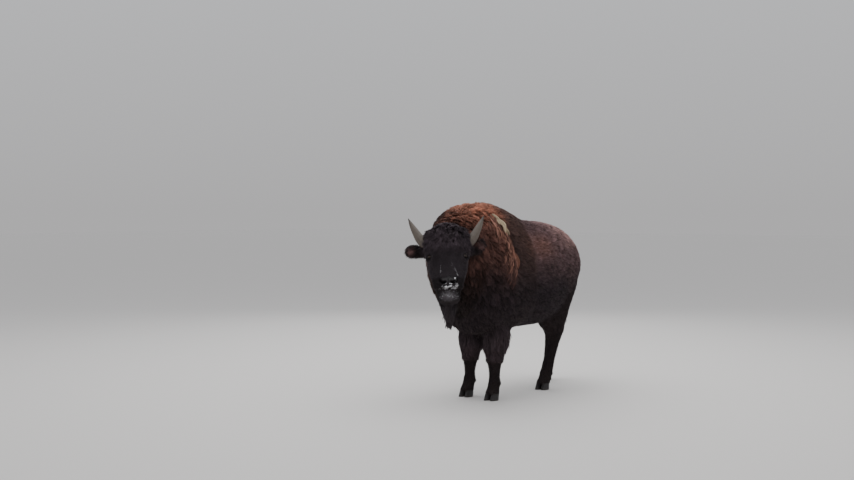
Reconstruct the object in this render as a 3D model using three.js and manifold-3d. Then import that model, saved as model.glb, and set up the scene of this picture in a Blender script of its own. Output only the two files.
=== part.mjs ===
// A plains bison, standing with its head turned, as a life-size still model.
// Units are millimetres. +Z is up, the floor is Z = 0, the head is towards -X and the animal's left is -Y.
// Every outline is the outside of the coat, out to the tips of the hair.
import * as THREE from 'three';
import { mergeVertices } from 'three/addons/utils/BufferGeometryUtils.js';
import Module from 'manifold-3d';

const wasm = await Module();
wasm.setup();

// Driving dimensions
const humpHeight = 1600; // the highest hair, over the fore legs
const loinHeight = 1450;
const hipHeight = 1400;
const bellyHeight = 556;
const chestHalf = 346; // half the widest width, behind the shoulders
const foreX = -480; // the fore legs
const foreStance = 140; // half the distance between the fore feet
const foreSwing = [-20, 20]; // how far back each fore foot stands, the left and then the right
const forePivot = 900; // the height that a fore leg swings about
const hindX = 770; // the hind feet before they swing
const hindStance = 150;
const hindSwing = [-545, -15];
const hindPivot = 1100; // the height that a hind leg swings about
const soleTop = 58; // where the hooves end and the pasterns begin
const headAt = new THREE.Vector3(-1140, -122, 1308); // midway between the horns
const headTurn = 36; // degrees to the animal's left
const headNod = 20; // degrees that the nose is carried in front of the brow
const headTilt = -2; // degrees that the right ear is carried below the left
const gap = 0.4; // between neighbouring pieces

const degree = Math.PI / 180;

// A closed manifold-3d solid of a geometry.
function solidOf(geometry) {
  const bare = geometry.clone();
  ['normal', 'uv'].forEach((name) => bare.deleteAttribute(name));
  const { attributes, index } = mergeVertices(bare, 1e-4);
  return new wasm.Manifold(new wasm.Mesh({
    numProp: 3,
    vertProperties: new Float32Array(attributes.position.array),
    triVerts: new Uint32Array(index.array),
  }));
}

function geometryOf(solid) {
  const { vertProperties, triVerts, numProp } = solid.getMesh();
  const geometry = new THREE.BufferGeometry();
  const points = new THREE.InterleavedBuffer(vertProperties, numProp);
  geometry.setAttribute('position', new THREE.InterleavedBufferAttribute(points, 3, 0));
  geometry.setIndex(new THREE.BufferAttribute(triVerts, 1));
  const flat = geometry.toNonIndexed();
  flat.computeVertexNormals();
  return flat;
}

const sectionSizes = {
  x: 0, y: 0, z: 0, // the section's middle
  turn: 0, // degrees about +Z
  lean: 0, // degrees: 0 is an upright section across the body, 90 a level one across a limb
  side: 100, // half its width
  up: 100, // above the middle, or in front of it on a limb
  down: 100,
  upPower: 2, // 2 is an ellipse, less is more pointed and more is squarer
  downPower: 2,
};
const sizeNames = Object.keys(sectionSizes);

// A function of the distance along the landmarks that gives the section there.
function between(landmarks) {
  const full = landmarks.map((landmark) => ({ ...sectionSizes, ...landmark }));
  const reach = [0];
  for (let i = 1; i < full.length; i++) {
    const { x, y, z } = full[i - 1];
    reach.push(reach[i - 1] + Math.hypot(full[i].x - x, full[i].y - y, full[i].z - z));
  }
  const values = full.flatMap((landmark) => sizeNames.map((name) => landmark[name]));
  const curve = new THREE.CubicInterpolant(reach, values, sizeNames.length);
  const at = (distance) => {
    const found = curve.evaluate(distance);
    return Object.fromEntries(sizeNames.map((name, i) => [name, found[i]]));
  };
  return { at, length: reach.at(-1) };
}

const bulge = (share, power) => Math.sign(share) * Math.abs(share) ** (2 / power);

// The points round one section.
function ring(section, sides, scale, grow) {
  const place = new THREE.Vector3(section.x, section.y, section.z);
  const facing = new THREE.Quaternion()
    .setFromEuler(new THREE.Euler(0, -section.lean * degree, section.turn * degree, 'ZYX'));
  return Array.from({ length: sides }, (_, i) => {
    const angle = (i / sides) * 2 * Math.PI;
    const above = Math.sin(angle) > 0;
    const power = above ? section.upPower : section.downPower;
    const y = (section.side * scale + grow) * bulge(Math.cos(angle), power);
    const z = ((above ? section.up : section.down) * scale + grow) * bulge(Math.sin(angle), power);
    return new THREE.Vector3(0, y, z).applyQuaternion(facing).add(place);
  });
}

// One closed geometry over a list of rings, with its ends closed by a fan.
function skinOver(rings) {
  const sides = rings[0].length;
  const sum = (points) => points.reduce((total, p) => total.add(p), new THREE.Vector3());
  const points = [...rings.flat(), ...[rings[0], rings.at(-1)].map((end) => sum(end).divideScalar(sides))];
  const [first, last] = [points.length - 2, points.length - 1];
  const index = [];
  for (let i = 0; i < sides; i++) {
    const next = (i + 1) % sides;
    for (let r = 0; r < rings.length - 1; r++) {
      const [a, b, c, d] = [r * sides + i, r * sides + next, (r + 1) * sides + next, (r + 1) * sides + i];
      index.push(a, b, c, a, c, d);
    }
    const end = (rings.length - 1) * sides;
    index.push(first, next, i, last, end + i, end + next);
  }
  const geometry = new THREE.BufferGeometry().setFromPoints(points);
  geometry.setIndex(index);
  return geometry;
}

// A body or limb through its landmarks. roundStart and roundEnd are the lengths of its domed ends,
// and grow makes it that much bigger all over.
const domeSteps = [0.03, 0.15, 0.4, 0.7];
function loft(landmarks, { sides, rings, roundStart = 0, roundEnd = 0, grow = 0 }) {
  const { at, length } = between(landmarks);
  const plain = length - roundStart - roundEnd;
  const stations = [
    ...(roundStart ? domeSteps.map((step) => step * roundStart) : []),
    ...Array.from({ length: rings }, (_, i) => roundStart + (plain * i) / (rings - 1)),
    ...(roundEnd ? domeSteps.map((step) => length - step * roundEnd).reverse() : []),
  ];
  const dome = (away, round) => (away >= round ? 1 : Math.sqrt(1 - (1 - away / round) ** 2));
  const made = skinOver(stations.map((distance) => {
    const scale = dome(distance, roundStart) * dome(length - distance, roundEnd);
    return ring(at(distance + grow * (2 * distance / length - 1)), sides, scale, grow);
  }));
  const solid = solidOf(made);
  if (solid.volume() > 0) return solid;
  made.setIndex([...made.index.array].reverse());
  return solidOf(made);
}

// The body, from the breast to the rump.
const trunkLandmarks = [
  { x: -905, top: 1480, mid: 1080, belly: 780, side: 166, upPower: 2.1, downPower: 2 },
  { x: -840, top: 1562, mid: 1060, belly: 690, side: 228, upPower: 2.1, downPower: 2.1 },
  { x: -720, top: 1592, mid: 1030, belly: 570, side: 288, upPower: 2.1, downPower: 2.2 },
  { x: -600, top: humpHeight, mid: 1000, belly: 535, side: 328, upPower: 2.05, downPower: 2.3 },
  { x: -440, top: 1597, mid: 980, belly: 530, side: 343, upPower: 2, downPower: 2.3 },
  { x: -300, top: 1572, mid: 960, belly: 540, side: chestHalf, upPower: 2, downPower: 2.3 },
  { x: -180, top: 1526, mid: 950, belly: bellyHeight, side: chestHalf, upPower: 2.05, downPower: 2.2 },
  { x: -50, top: 1478, mid: 950, belly: bellyHeight, side: chestHalf, upPower: 2.1, downPower: 2.2 },
  { x: 90, top: 1457, mid: 950, belly: bellyHeight, side: chestHalf, upPower: 2.15, downPower: 2.2 },
  { x: 250, top: loinHeight, mid: 960, belly: 560, side: 326, upPower: 2.2, downPower: 2.2 },
  { x: 400, top: 1434, mid: 1000, belly: 590, side: 306, upPower: 2.25, downPower: 2.2 },
  { x: 550, top: hipHeight, mid: 1040, belly: 680, side: 288, upPower: 2.25, downPower: 2.2 },
  { x: 670, top: 1335, mid: 1060, belly: 800, side: 256, upPower: 2.15, downPower: 2.1 },
  { x: 760, top: 1240, mid: 1060, belly: 890, side: 206, upPower: 2, downPower: 2 },
  { x: 830, top: 1140, mid: 1045, belly: 950, side: 140, upPower: 2, downPower: 2 },
].map(({ top, mid, belly, ...rest }) => ({ ...rest, z: mid, up: top - mid, down: mid - belly }));

const trunk = (grow = 0) =>
  loft(trunkLandmarks, { sides: 26, rings: 20, roundStart: 80, roundEnd: 110, grow });

const neckLandmarks = [
  { x: -700, y: 0, z: 1120, turn: 0, side: 215, up: 360, down: 440, upPower: 2.2 },
  { x: -850, y: -22, z: 1130, turn: 8, side: 234, up: 440, down: 430, upPower: 2.2 },
  { x: -960, y: -58, z: 1150, turn: 18, side: 214, up: 385, down: 380, upPower: 2.2 },
  { x: -1050, y: -100, z: 1180, turn: 28, side: 190, up: 305, down: 300, upPower: 2.1 },
  { x: -1110, y: -125, z: 1215, turn: headTurn, side: 168, up: 225, down: 220, upPower: 2 },
];
const neck = (grow = 0) => loft(neckLandmarks, { sides: 20, rings: 7, roundEnd: 60, grow });

// The head stands upright in its own frame: origin midway between the horns, face towards -X.
const headLandmarks = [
  { z: 135, x: 20, side: 84, up: 76, down: 78 },
  { z: 100, x: 10, side: 132, up: 106, down: 120 },
  { z: 50, x: 5, side: 163, up: 122, down: 140 },
  { z: -10, x: 0, side: 175, up: 122, down: 150, upPower: 2.3 },
  { z: -85, x: 0, side: 170, up: 114, down: 155, upPower: 2.4 },
  { z: -150, x: 0, side: 160, up: 104, down: 158, upPower: 2.4 },
  { z: -240, x: -2, side: 146, up: 94, down: 155, upPower: 2.4 },
  { z: -308, x: -6, side: 132, up: 90, down: 134, upPower: 2.4 },
  { z: -365, x: -12, side: 114, up: 92, down: 108, upPower: 2.5 },
  { z: -415, x: -18, side: 106, up: 90, down: 86, upPower: 2.6 },
  { z: -465, x: -18, side: 96, up: 76, down: 72, upPower: 2.4 },
  { z: -517, x: -5, side: 66, up: 46, down: 55 },
].map((landmark) => ({ lean: 90, ...landmark }));

const inHead = new THREE.Matrix4().compose(
  headAt,
  new THREE.Quaternion().setFromEuler(
    new THREE.Euler(headTilt * degree, headNod * degree, headTurn * degree, 'ZYX')),
  new THREE.Vector3(1, 1, 1));
const placed = (solid) => solid.transform(inHead.elements);

const head = (grow = 0) =>
  placed(loft(headLandmarks, { sides: 24, rings: 14, roundStart: 50, roundEnd: 45, grow }));

const beardLandmarks = [
  { z: -440, x: 25, side: 68, up: 60, down: 84 },
  { z: -510, x: 28, side: 62, up: 54, down: 74 },
  { z: -575, x: 34, side: 46, up: 42, down: 56 },
  { z: -645, x: 42, side: 24, up: 22, down: 30 },
].map((landmark) => ({ lean: 90, ...landmark }));
const beard = (grow = 0) => placed(loft(beardLandmarks, { sides: 8, rings: 4, roundEnd: 40, grow }));

// A round tube whose radius runs through the given radii, along a curve through the given points.
function taper(points, radii, { sides, rings, grow = 0 }) {
  const curve = new THREE.CatmullRomCurve3(points.map((p) => new THREE.Vector3(...p)));
  const radius = new THREE.CubicInterpolant(
    radii.map((_, i) => i / (radii.length - 1)), radii, 1);
  const frames = curve.computeFrenetFrames(rings - 1);
  return solidOf(skinOver(Array.from({ length: rings }, (_, r) => {
    const share = r / (rings - 1);
    const place = curve.getPointAt(share);
    const size = radius.evaluate(share)[0] + grow;
    return Array.from({ length: sides }, (_, i) => {
      const angle = (i / sides) * 2 * Math.PI;
      return place.clone()
        .addScaledVector(frames.normals[r], size * Math.cos(angle))
        .addScaledVector(frames.binormals[r], size * Math.sin(angle));
    });
  })));
}

// which is -1 for the animal's left and 1 for its right.
const hornPath = [[10, 120, -25], [5, 165, -18], [0, 202, 14], [-4, 238, 74], [-6, 268, 132], [-6, 292, 186]];
const hornRadii = [44, 43, 38, 29, 18, 3];
const horn = (which, grow = 0) =>
  placed(taper(hornPath.map(([x, y, z]) => [x, which * y, z]), hornRadii, { sides: 10, rings: 9, grow }));

const earSizes = [
  { reach: 0, side: 32, tall: 26 },
  { reach: 50, side: 38, tall: 34 },
  { reach: 100, side: 36, tall: 48 },
  { reach: 140, side: 26, tall: 46 },
  { reach: 180, side: 12, tall: 22 },
];
const earRaise = [30, 8]; // degrees that the tip stands above the root, on the left and the right
const earRoot = { x: 62, y: 138, z: [-92, -72] };
function ear(which, grow = 0) {
  const order = which < 0 ? 0 : 1;
  const raise = earRaise[order] * degree;
  const landmarks = earSizes.map(({ reach, side, tall }) => ({
    x: earRoot.x,
    y: which * (earRoot.y + reach * Math.cos(raise)),
    z: earRoot.z[order] + reach * Math.sin(raise),
    turn: which * 90, side, up: tall, down: tall,
  }));
  return placed(loft(landmarks, { sides: 9, rings: 5, roundEnd: 30, grow }));
}

// A ball scaled to its half sizes along the head's x, y and z, at its place in the head.
const ball = ([x, y, z], [halfX, halfY, halfZ], grow = 0) => placed(
  solidOf(new THREE.SphereGeometry(1, 10, 6))
    .transform(new THREE.Matrix4().makeScale(halfX + grow, halfY + grow, halfZ + grow).elements)
    .translate([x, y, z]));
const eyeRadius = 21;
const eyeAt = { x: -56, y: 131, z: -150 };
const nostrilAt = { x: -100, y: 50, z: -376 };
const nostrilHalf = [24, 21, 13];
const mouthAt = { x: -58, z: -424 };
const mouthHalf = [64, 108, 6];
const eyeball = (which, grow = 0) =>
  ball([eyeAt.x, which * eyeAt.y, eyeAt.z], Array(3).fill(eyeRadius), grow);
const nostril = (which) => ball([nostrilAt.x, which * nostrilAt.y, nostrilAt.z], nostrilHalf);
const mouth = () => ball([mouthAt.x, 0, mouthAt.z], mouthHalf);

const foreLandmarks = [
  { z: 760, x: 20, side: 40, up: 40, down: 40 },
  { z: 700, x: 20, side: 76, up: 84, down: 96 },
  { z: 640, x: 20, side: 104, up: 106, down: 138 },
  { z: 590, x: 16, side: 114, up: 110, down: 160 },
  { z: 530, x: 8, side: 106, up: 98, down: 156 },
  { z: 450, x: 2, side: 92, up: 84, down: 134 },
  { z: 390, x: 0, side: 80, up: 76, down: 108 },
  { z: 340, x: 0, side: 68, up: 66, down: 80 },
  { z: 260, x: -2, side: 50, up: 48, down: 56 },
  { z: 190, x: -4, side: 43, up: 42, down: 48 },
  { z: 140, x: -6, side: 49, up: 47, down: 56 },
  { z: 95, x: -24, side: 49, up: 47, down: 50 },
  { z: soleTop, x: -36, side: 56, up: 60, down: 54 },
];

const hindLandmarks = [
  { z: 1150, x: -90, side: 70, up: 90, down: 60 },
  { z: 1040, x: -100, side: 132, up: 220, down: 165 },
  { z: 940, x: -100, side: 150, up: 262, down: 215 },
  { z: 840, x: -90, side: 144, up: 274, down: 225 },
  { z: 740, x: -60, side: 124, up: 276, down: 190 },
  { z: 640, x: -10, side: 98, up: 268, down: 128 },
  { z: 550, x: 42, side: 74, up: 214, down: 86 },
  { z: 480, x: 64, side: 60, up: 132, down: 70 },
  { z: 410, x: 62, side: 50, up: 58, down: 56 },
  { z: 310, x: 52, side: 44, up: 46, down: 46 },
  { z: 200, x: 40, side: 43, up: 44, down: 46 },
  { z: 140, x: 32, side: 49, up: 47, down: 55 },
  { z: 95, x: 12, side: 49, up: 47, down: 50 },
  { z: soleTop, x: 0, side: 55, up: 58, down: 54 },
];

// A leg's landmarks, swung so that its foot stands swing further back. The middle joint bends with it.
const swingPower = 0.7;
const topInset = 0.2; // how much nearer to the middle the top of a leg is than its foot
const swung = (landmarks, legX, legY, swing, pivot) => landmarks.map((landmark) => {
  const raised = Math.min(1, (landmark.z - soleTop) / (pivot - soleTop));
  const x = legX + landmark.x + swing * (1 - raised) ** swingPower;
  return { lean: 90, ...landmark, x, y: legY * (1 - topInset * raised) };
});

const leg = (landmarks, grow = 0) => loft(landmarks, { sides: 12, rings: 17, grow });

// Both pairs of legs. A leg is parted at joint, which is its knee or hock, and at fetlock.
const legPairs = {
  fore: {
    landmarks: foreLandmarks,
    x: foreX,
    stance: foreStance,
    swing: foreSwing,
    pivot: forePivot,
    joint: 340,
    fetlock: 160,
  },
  hind: {
    landmarks: hindLandmarks,
    x: hindX,
    stance: hindStance,
    swing: hindSwing,
    pivot: hindPivot,
    joint: 500,
    fetlock: 160,
  },
};

// One of a foot's two hooves, under the pastern whose section is given. inner is -1 or 1, across the foot.
const cleft = 5; // between a foot's two hooves
function hoof(pastern, inner) {
  const landmarks = [
    { z: soleTop - gap, x: -2, side: 25, up: 44, down: 44 },
    { z: 30, x: -8, side: 27, up: 52, down: 44 },
    { z: 0, x: -14, side: 28, up: 60, down: 42 },
  ].map((landmark) => ({
    lean: 90,
    ...landmark,
    x: pastern.x + landmark.x,
    y: pastern.y + inner * (landmark.side + cleft / 2),
    upPower: 1.9,
  }));
  return loft(landmarks, { sides: 10, rings: 3 });
}

// One of the two small hooves behind a fetlock, whose section is given.
const dewclawHalf = [16, 13, 19];
const dewclawBack = 0.84; // how far back its middle is, as a share of the fetlock
const dewclawSpread = 20;
const dewclawDrop = 14; // below the fetlock's middle
const dewclaw = (fetlock, inner) =>
  solidOf(new THREE.SphereGeometry(1, 7, 4))
    .transform(new THREE.Matrix4().makeScale(...dewclawHalf).elements)
    .translate([
      fetlock.x + dewclawBack * fetlock.down,
      fetlock.y + inner * dewclawSpread,
      fetlock.z - dewclawDrop,
    ]);

const tailLandmarks = [
  { z: 1230, x: 740, side: 40, up: 34, down: 34 },
  { z: 1170, x: 822, side: 34, up: 28, down: 28 },
  { z: 1060, x: 862, side: 26, up: 22, down: 22 },
  { z: 920, x: 862, side: 22, up: 20, down: 20 },
  { z: 780, x: 850, side: 26, up: 24, down: 24 },
  { z: 680, x: 844, side: 38, up: 34, down: 34 },
  { z: 550, x: 838, side: 14, up: 14, down: 14 },
].map((landmark) => ({ lean: 90, ...landmark }));
const tail = () => loft(tailLandmarks, { sides: 8, rings: 8, roundEnd: 40 });

const finishes = {
  cape: { color: '#6b3a20', roughness: 0.9 },
  flank: { color: '#3d2a21', roughness: 0.85 },
  dark: { color: '#1d1615', roughness: 0.9 },
  horn: { color: '#6e675c', roughness: 0.55 },
  hoof: { color: '#1b1917', roughness: 0.5 },
  eye: { color: '#0c0908', roughness: 0.1 },
};

const bison = new THREE.Group();

// A piece is the largest body of what the cuts left.
function add(name, solid, finish) {
  const [whole] = solid.decompose().sort((a, b) => b.volume() - a.volume());
  const material = new THREE.MeshStandardMaterial({ metalness: 0, ...finishes[finish] });
  const mesh = new THREE.Mesh(geometryOf(whole), material);
  mesh.name = name;
  bison.add(mesh);
}
const without = (solid, others) => others.reduce((left, other) => left.subtract(other), solid);
const ahead = (solid, x) => solid.trimByPlane([-1, 0, 0], -x + gap / 2);
const behind = (solid, x) => solid.trimByPlane([1, 0, 0], x + gap / 2);
const below = (solid, z) => solid.trimByPlane([0, 0, -1], -z + gap / 2);
const above = (solid, z) => solid.trimByPlane([0, 0, 1], z + gap / 2);

const grownTrunk = trunk(gap);
const shoulderX = -200;
const flankX = 380;
add('forequarters', ahead(trunk(), shoulderX), 'cape');
add('barrel', ahead(behind(trunk(), shoulderX), flankX), 'flank');
add('hindquarters', behind(trunk(), flankX), 'flank');

const sides = [['left', -1], ['right', 1]];
const grownHead = head(gap);
const headFittings = [
  grownHead,
  beard(gap),
  ...sides.flatMap(([, which]) => [horn(which, gap), ear(which, gap)]),
];
const hollows = [mouth(), ...sides.flatMap(([, which]) => [eyeball(which, gap), nostril(which)])];
add('head', without(head(), hollows), 'dark');
add('beard', beard().subtract(grownHead), 'dark');
add('neck', without(neck(), [grownTrunk, ...headFittings]), 'cape');
add('tail', tail().subtract(grownTrunk), 'flank');

sides.forEach(([side, which], order) => {
  add(`eye_${side}`, eyeball(which), 'eye');
  add(`horn_${side}`, horn(which).subtract(grownHead), 'horn');
  add(`ear_${side}`, without(ear(which), [grownHead, horn(which, gap)]), 'dark');

  for (const [place, { landmarks, x, stance, swing, pivot, joint, fetlock }] of Object.entries(legPairs)) {
    const path = swung(landmarks, x, which * stance, swing[order], pivot);
    const whole = leg(path).subtract(grownTrunk);
    add(`${place}_leg_${side}_upper`, above(whole, joint), 'dark');
    add(`${place}_leg_${side}_lower`, below(above(whole, fetlock), joint), 'dark');
    add(`${place}_foot_${side}`, below(whole, fetlock), 'dark');
    for (const inner of [-1, 1]) {
      const name = inner * which < 0 ? 'inner' : 'outer';
      add(`${place}_hoof_${side}_${name}`, hoof(path.at(-1), inner), 'hoof');
      add(`${place}_dewclaw_${side}_${name}`, dewclaw(path.at(-3), inner).subtract(leg(path, gap)), 'hoof');
    }
  }
});

// The origin is on the floor, below the middle of the whole.
const box = new THREE.Box3().setFromObject(bison);
const middle = box.getCenter(new THREE.Vector3());
bison.position.set(-middle.x, -middle.y, -box.min.z);

export default bison;
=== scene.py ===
import math

import bmesh
import bpy
import numpy as np
from mathutils import Euler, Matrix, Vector, noise
from mathutils.bvhtree import BVHTree
from mathutils.kdtree import KDTree


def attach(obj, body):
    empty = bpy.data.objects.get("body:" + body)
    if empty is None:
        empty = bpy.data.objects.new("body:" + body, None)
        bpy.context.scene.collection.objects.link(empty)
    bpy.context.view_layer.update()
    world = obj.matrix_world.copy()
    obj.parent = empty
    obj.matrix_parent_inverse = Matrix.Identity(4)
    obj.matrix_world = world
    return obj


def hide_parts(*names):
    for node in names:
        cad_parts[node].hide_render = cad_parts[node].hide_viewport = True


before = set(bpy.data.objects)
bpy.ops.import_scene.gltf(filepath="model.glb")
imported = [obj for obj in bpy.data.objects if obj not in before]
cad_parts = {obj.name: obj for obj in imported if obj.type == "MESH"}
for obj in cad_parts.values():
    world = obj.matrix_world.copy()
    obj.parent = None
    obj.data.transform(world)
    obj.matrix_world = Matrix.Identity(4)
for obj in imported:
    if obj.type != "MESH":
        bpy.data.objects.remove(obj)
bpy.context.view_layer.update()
print("frame loaded, with", len(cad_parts), "nodes")


# Small helpers: colours, nodes, blends and noise


def linear(code):
    channels = [int(code[i:i + 2], 16) / 255 for i in (1, 3, 5)]
    return tuple(c / 12.92 if c <= 0.04045 else ((c + 0.055) / 1.055) ** 2.4 for c in channels)


def addNode(tree, kind, inputs=None, to=None, output=0, **settings):
    # Inputs are sockets to link, plain values or hex colours. The output may go on to another socket.
    node = tree.nodes.new(kind)
    for name, value in settings.items():
        setattr(node, name, value)
    for name, value in (inputs or {}).items():
        if isinstance(value, bpy.types.NodeSocket):
            tree.links.new(value, node.inputs[name])
        else:
            node.inputs[name].default_value = (*linear(value), 1) if isinstance(value, str) else value
    if to is not None:
        tree.links.new(node.outputs[output], to)
    return node


def newMaterial(name, shader):  # returns the tree, its Principled node and the material
    material = bpy.data.materials.new(name)
    material.use_nodes = True
    tree = material.node_tree
    surface = tree.nodes["Principled BSDF"]
    for socket, value in shader.items():
        surface.inputs[socket].default_value = value
    return tree, surface, material


def fibreFinish(tree, surface, fibres, tones, relief=None):
    # The colour painted on the points, made darker and lighter by the fibres, which also stand proud
    paint = addNode(tree, "ShaderNodeAttribute", attribute_name="pelage")
    shade = addNode(
        tree, "ShaderNodeMapRange", {"Value": fibres.outputs["Fac"], "To Min": tones[0], "To Max": tones[1]},
    )
    addNode(
        tree, "ShaderNodeVectorMath", {0: paint.outputs["Vector"], "Scale": shade.outputs["Result"]},
        to=surface.inputs["Base Color"], operation="SCALE",
    )
    if relief:
        addNode(
            tree, "ShaderNodeBump",
            {"Height": fibres.outputs["Fac"], "Strength": relief[0], "Distance": relief[1]},
            to=surface.inputs["Normal"],
        )


def stainFinish(tree, surface, stain, colours, height, relief):
    # Two colours parted by a stain, over a relief
    addNode(
        tree, "ShaderNodeMix", {"Factor": stain, 6: colours[0], 7: colours[1]},
        to=surface.inputs["Base Color"], output=2, data_type="RGBA",
    )
    addNode(
        tree, "ShaderNodeBump", {"Height": height, "Strength": relief[0], "Distance": relief[1]},
        to=surface.inputs["Normal"],
    )


def fade(value, low, high):  # 0 at low and 1 at high, eased at both ends
    t = np.clip((value - low) / (high - low), 0, 1)
    return t * t * (3 - 2 * t)


def blob(points, centre, radii):  # 1 at the centre of an ellipsoid, 0 at its surface
    reach = np.sqrt((((points - np.array(centre)) / np.array(radii)) ** 2).sum(1))
    return 1 - fade(reach, 0, 1)


def unit(vectors):
    return vectors / np.maximum(np.linalg.norm(vectors, axis=-1, keepdims=True), 1e-9)


def ripple(points, size, seed):  # smooth noise from -1 to 1, with lumps of about this size
    shift = Vector((seed * 7.31, seed * 3.17, seed * 5.77))
    return np.array([noise.noise(Vector(p) / size + shift) for p in points])


# Meshes as arrays


def arrayOf(items, field, width, kind=float):  # one row for each item
    values = np.empty(len(items) * width, kind)
    items.foreach_get(field, values)
    return values.reshape(-1, width)


def pointsOf(mesh):
    return arrayOf(mesh.vertices, "co", 3)


def normalsOf(mesh):
    return arrayOf(mesh.vertex_normals, "vector", 3, np.float32).astype(float)


def edgesOf(mesh):
    return arrayOf(mesh.edges, "vertices", 2, np.int32)


def loopPointsOf(mesh):
    return arrayOf(mesh.loops, "vertex_index", 1, np.int32).ravel()


def setPlaces(mesh, name, places):  # an unwrap, with a place for each face corner
    mesh.uv_layers.new(name=name).data.foreach_set("uv", places.astype(np.float32).ravel())


def treeOf(points):
    tree = KDTree(len(points))
    for number, point in enumerate(points):
        tree.insert(point, number)
    tree.balance()
    return tree


def shifted(faces, start):
    return [tuple(v + start for v in face) for face in faces]


def takenFrom(work):  # the points and faces of a bmesh, which is freed
    points = np.array([vertex.co for vertex in work.verts])
    faces = [tuple(vertex.index for vertex in face.verts) for face in work.faces]
    work.free()
    return points, faces


def movePoints(mesh, points):
    mesh.vertices.foreach_set("co", points.astype(np.float32).ravel())
    mesh.update()


def neighbourMean(values, edges):
    count = np.bincount(edges.ravel(), minlength=len(values))
    mean = np.empty_like(values)
    for column in range(values.shape[1]):
        ahead = np.bincount(edges[:, 0], values[edges[:, 1], column], len(values))
        behind = np.bincount(edges[:, 1], values[edges[:, 0], column], len(values))
        mean[:, column] = (ahead + behind) / np.maximum(count, 1)
    return mean


def relaxed(points, edges, rounds, strength=0.6, where=1.0):  # smooths and keeps the volume
    share = np.broadcast_to(where, len(points))[:, None]
    for _ in range(rounds):
        points = points + share * strength * (neighbourMean(points, edges) - points)
        points = points - share * strength * 1.03 * (neighbourMean(points, edges) - points)
    return points


def blurred(values, edges, rounds):
    for _ in range(rounds):
        values = 0.5 * values + 0.5 * neighbourMean(values, edges)
    return values


def meshOf(name, points, faces):
    mesh = bpy.data.meshes.new(name)
    mesh.from_pydata([tuple(p) for p in points], [], [tuple(f) for f in faces])
    return mesh


def pieceOf(name, mesh, material, smooth=True):
    piece = bpy.data.objects.new(name, mesh)
    bpy.context.scene.collection.objects.link(piece)
    mesh.materials.append(material)
    mesh.polygons.foreach_set("use_smooth", [smooth] * len(mesh.polygons))
    return piece


def remeshed(name, points, faces, voxel):
    piece = bpy.data.objects.new(name, meshOf(name, points, faces))
    bpy.context.scene.collection.objects.link(piece)
    modifier = piece.modifiers.new("voxels", "REMESH")
    modifier.mode = "VOXEL"
    modifier.voxel_size = voxel
    evaluated = piece.evaluated_get(bpy.context.evaluated_depsgraph_get())
    mesh = bpy.data.meshes.new_from_object(evaluated)
    bpy.data.objects.remove(piece)
    mesh.name = name
    return mesh


def joinedNodes(names):  # the points and faces of some CAD nodes, and which node each face is from
    points, faces, owners = [], [], []
    for number, name in enumerate(names):
        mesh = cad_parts[name].data
        start = sum(len(part) for part in points)
        points.append(pointsOf(mesh))
        faces += shifted([face.vertices for face in mesh.polygons], start)
        owners += [number] * len(mesh.polygons)
    return np.concatenate(points), faces, owners


def setColours(mesh, name, colours):
    layer = mesh.color_attributes.new(name, "FLOAT_COLOR", "POINT")
    values = np.ones((len(mesh.vertices), 4), np.float32)
    values[:, :3] = colours
    layer.data.foreach_set("color", values.ravel())


# The head's own frame: origin between the horns, face along -X, crown along +Z

head = {
    "place": (-0.9086, -0.122, 1.308),
    "tilt": -2,
    "nod": 20,
    "turn": 36,
    "eye": (-0.056, 0.131, -0.150),       # the eyeball's centre
    "eyeRadius": 0.021,
    "hornRoot": (0.010, 0.135, -0.025),
    "hornRadius": 0.046,
}
headTurn = np.array(
    Euler([math.radians(head[axis]) for axis in ("tilt", "nod", "turn")], "XYZ").to_matrix()
)
headPlace = np.array(head["place"])


def inHead(points):  # to the head's frame
    return (points - headPlace) @ headTurn


def fromHead(points):
    return np.asarray(points) @ headTurn.T + headPlace


def folded(local):  # both halves of the head on one side
    return np.column_stack([local[:, 0], np.abs(local[:, 1]), local[:, 2]])


def bothSides(place):
    x, y, z = place
    return [(x, -y, z), (x, y, z)]


# Camera, floor and light

shot = {
    "eye": (-8.560, -5.736, 1.550),       # a person's eye height, ten metres off
    "aim": (-0.596, 0.306, 1.299),
    "focalPixels": 1230,
    "frameWidth": 854,
    "sensor": 36,
    "farthest": 200,
}


def placeLookingAt(name, data, place, aim):
    holder = bpy.data.objects.new(name, data)
    holder.location = place
    holder.rotation_euler = (Vector(aim) - Vector(place)).to_track_quat("-Z", "Y").to_euler()
    bpy.context.scene.collection.objects.link(holder)
    return holder


def makeCamera():
    camera = bpy.data.cameras.new("camera")
    camera.sensor_fit = "HORIZONTAL"
    camera.sensor_width = shot["sensor"]
    camera.lens = shot["focalPixels"] / shot["frameWidth"] * shot["sensor"]
    camera.clip_end = shot["farthest"]
    bpy.context.scene.camera = placeLookingAt("camera", camera, shot["eye"], shot["aim"])


studio = {
    "floorSize": 120,
    "floorColours": ("#d8d5d2", "#d3d0cd"),
    "sky": "#e6e8ec",
    "horizon": "#c4c3c4",
    "horizonHeight": 0.35,                 # how high the horizon's colour reaches, 1 is straight up
    "skyStrength": 0.92,
    "lampsAim": (0, 0, 0.9),
    "lamps": {                             # place, size and watts of each soft box
        "overhead": ((0.5, 0.5, 6.0), 7, 300),
        "front": ((-6.0, -5.0, 4.0), 4, 60),
        "back": ((5.0, 4.0, 4.5), 5, 110),
    },
}


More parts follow.
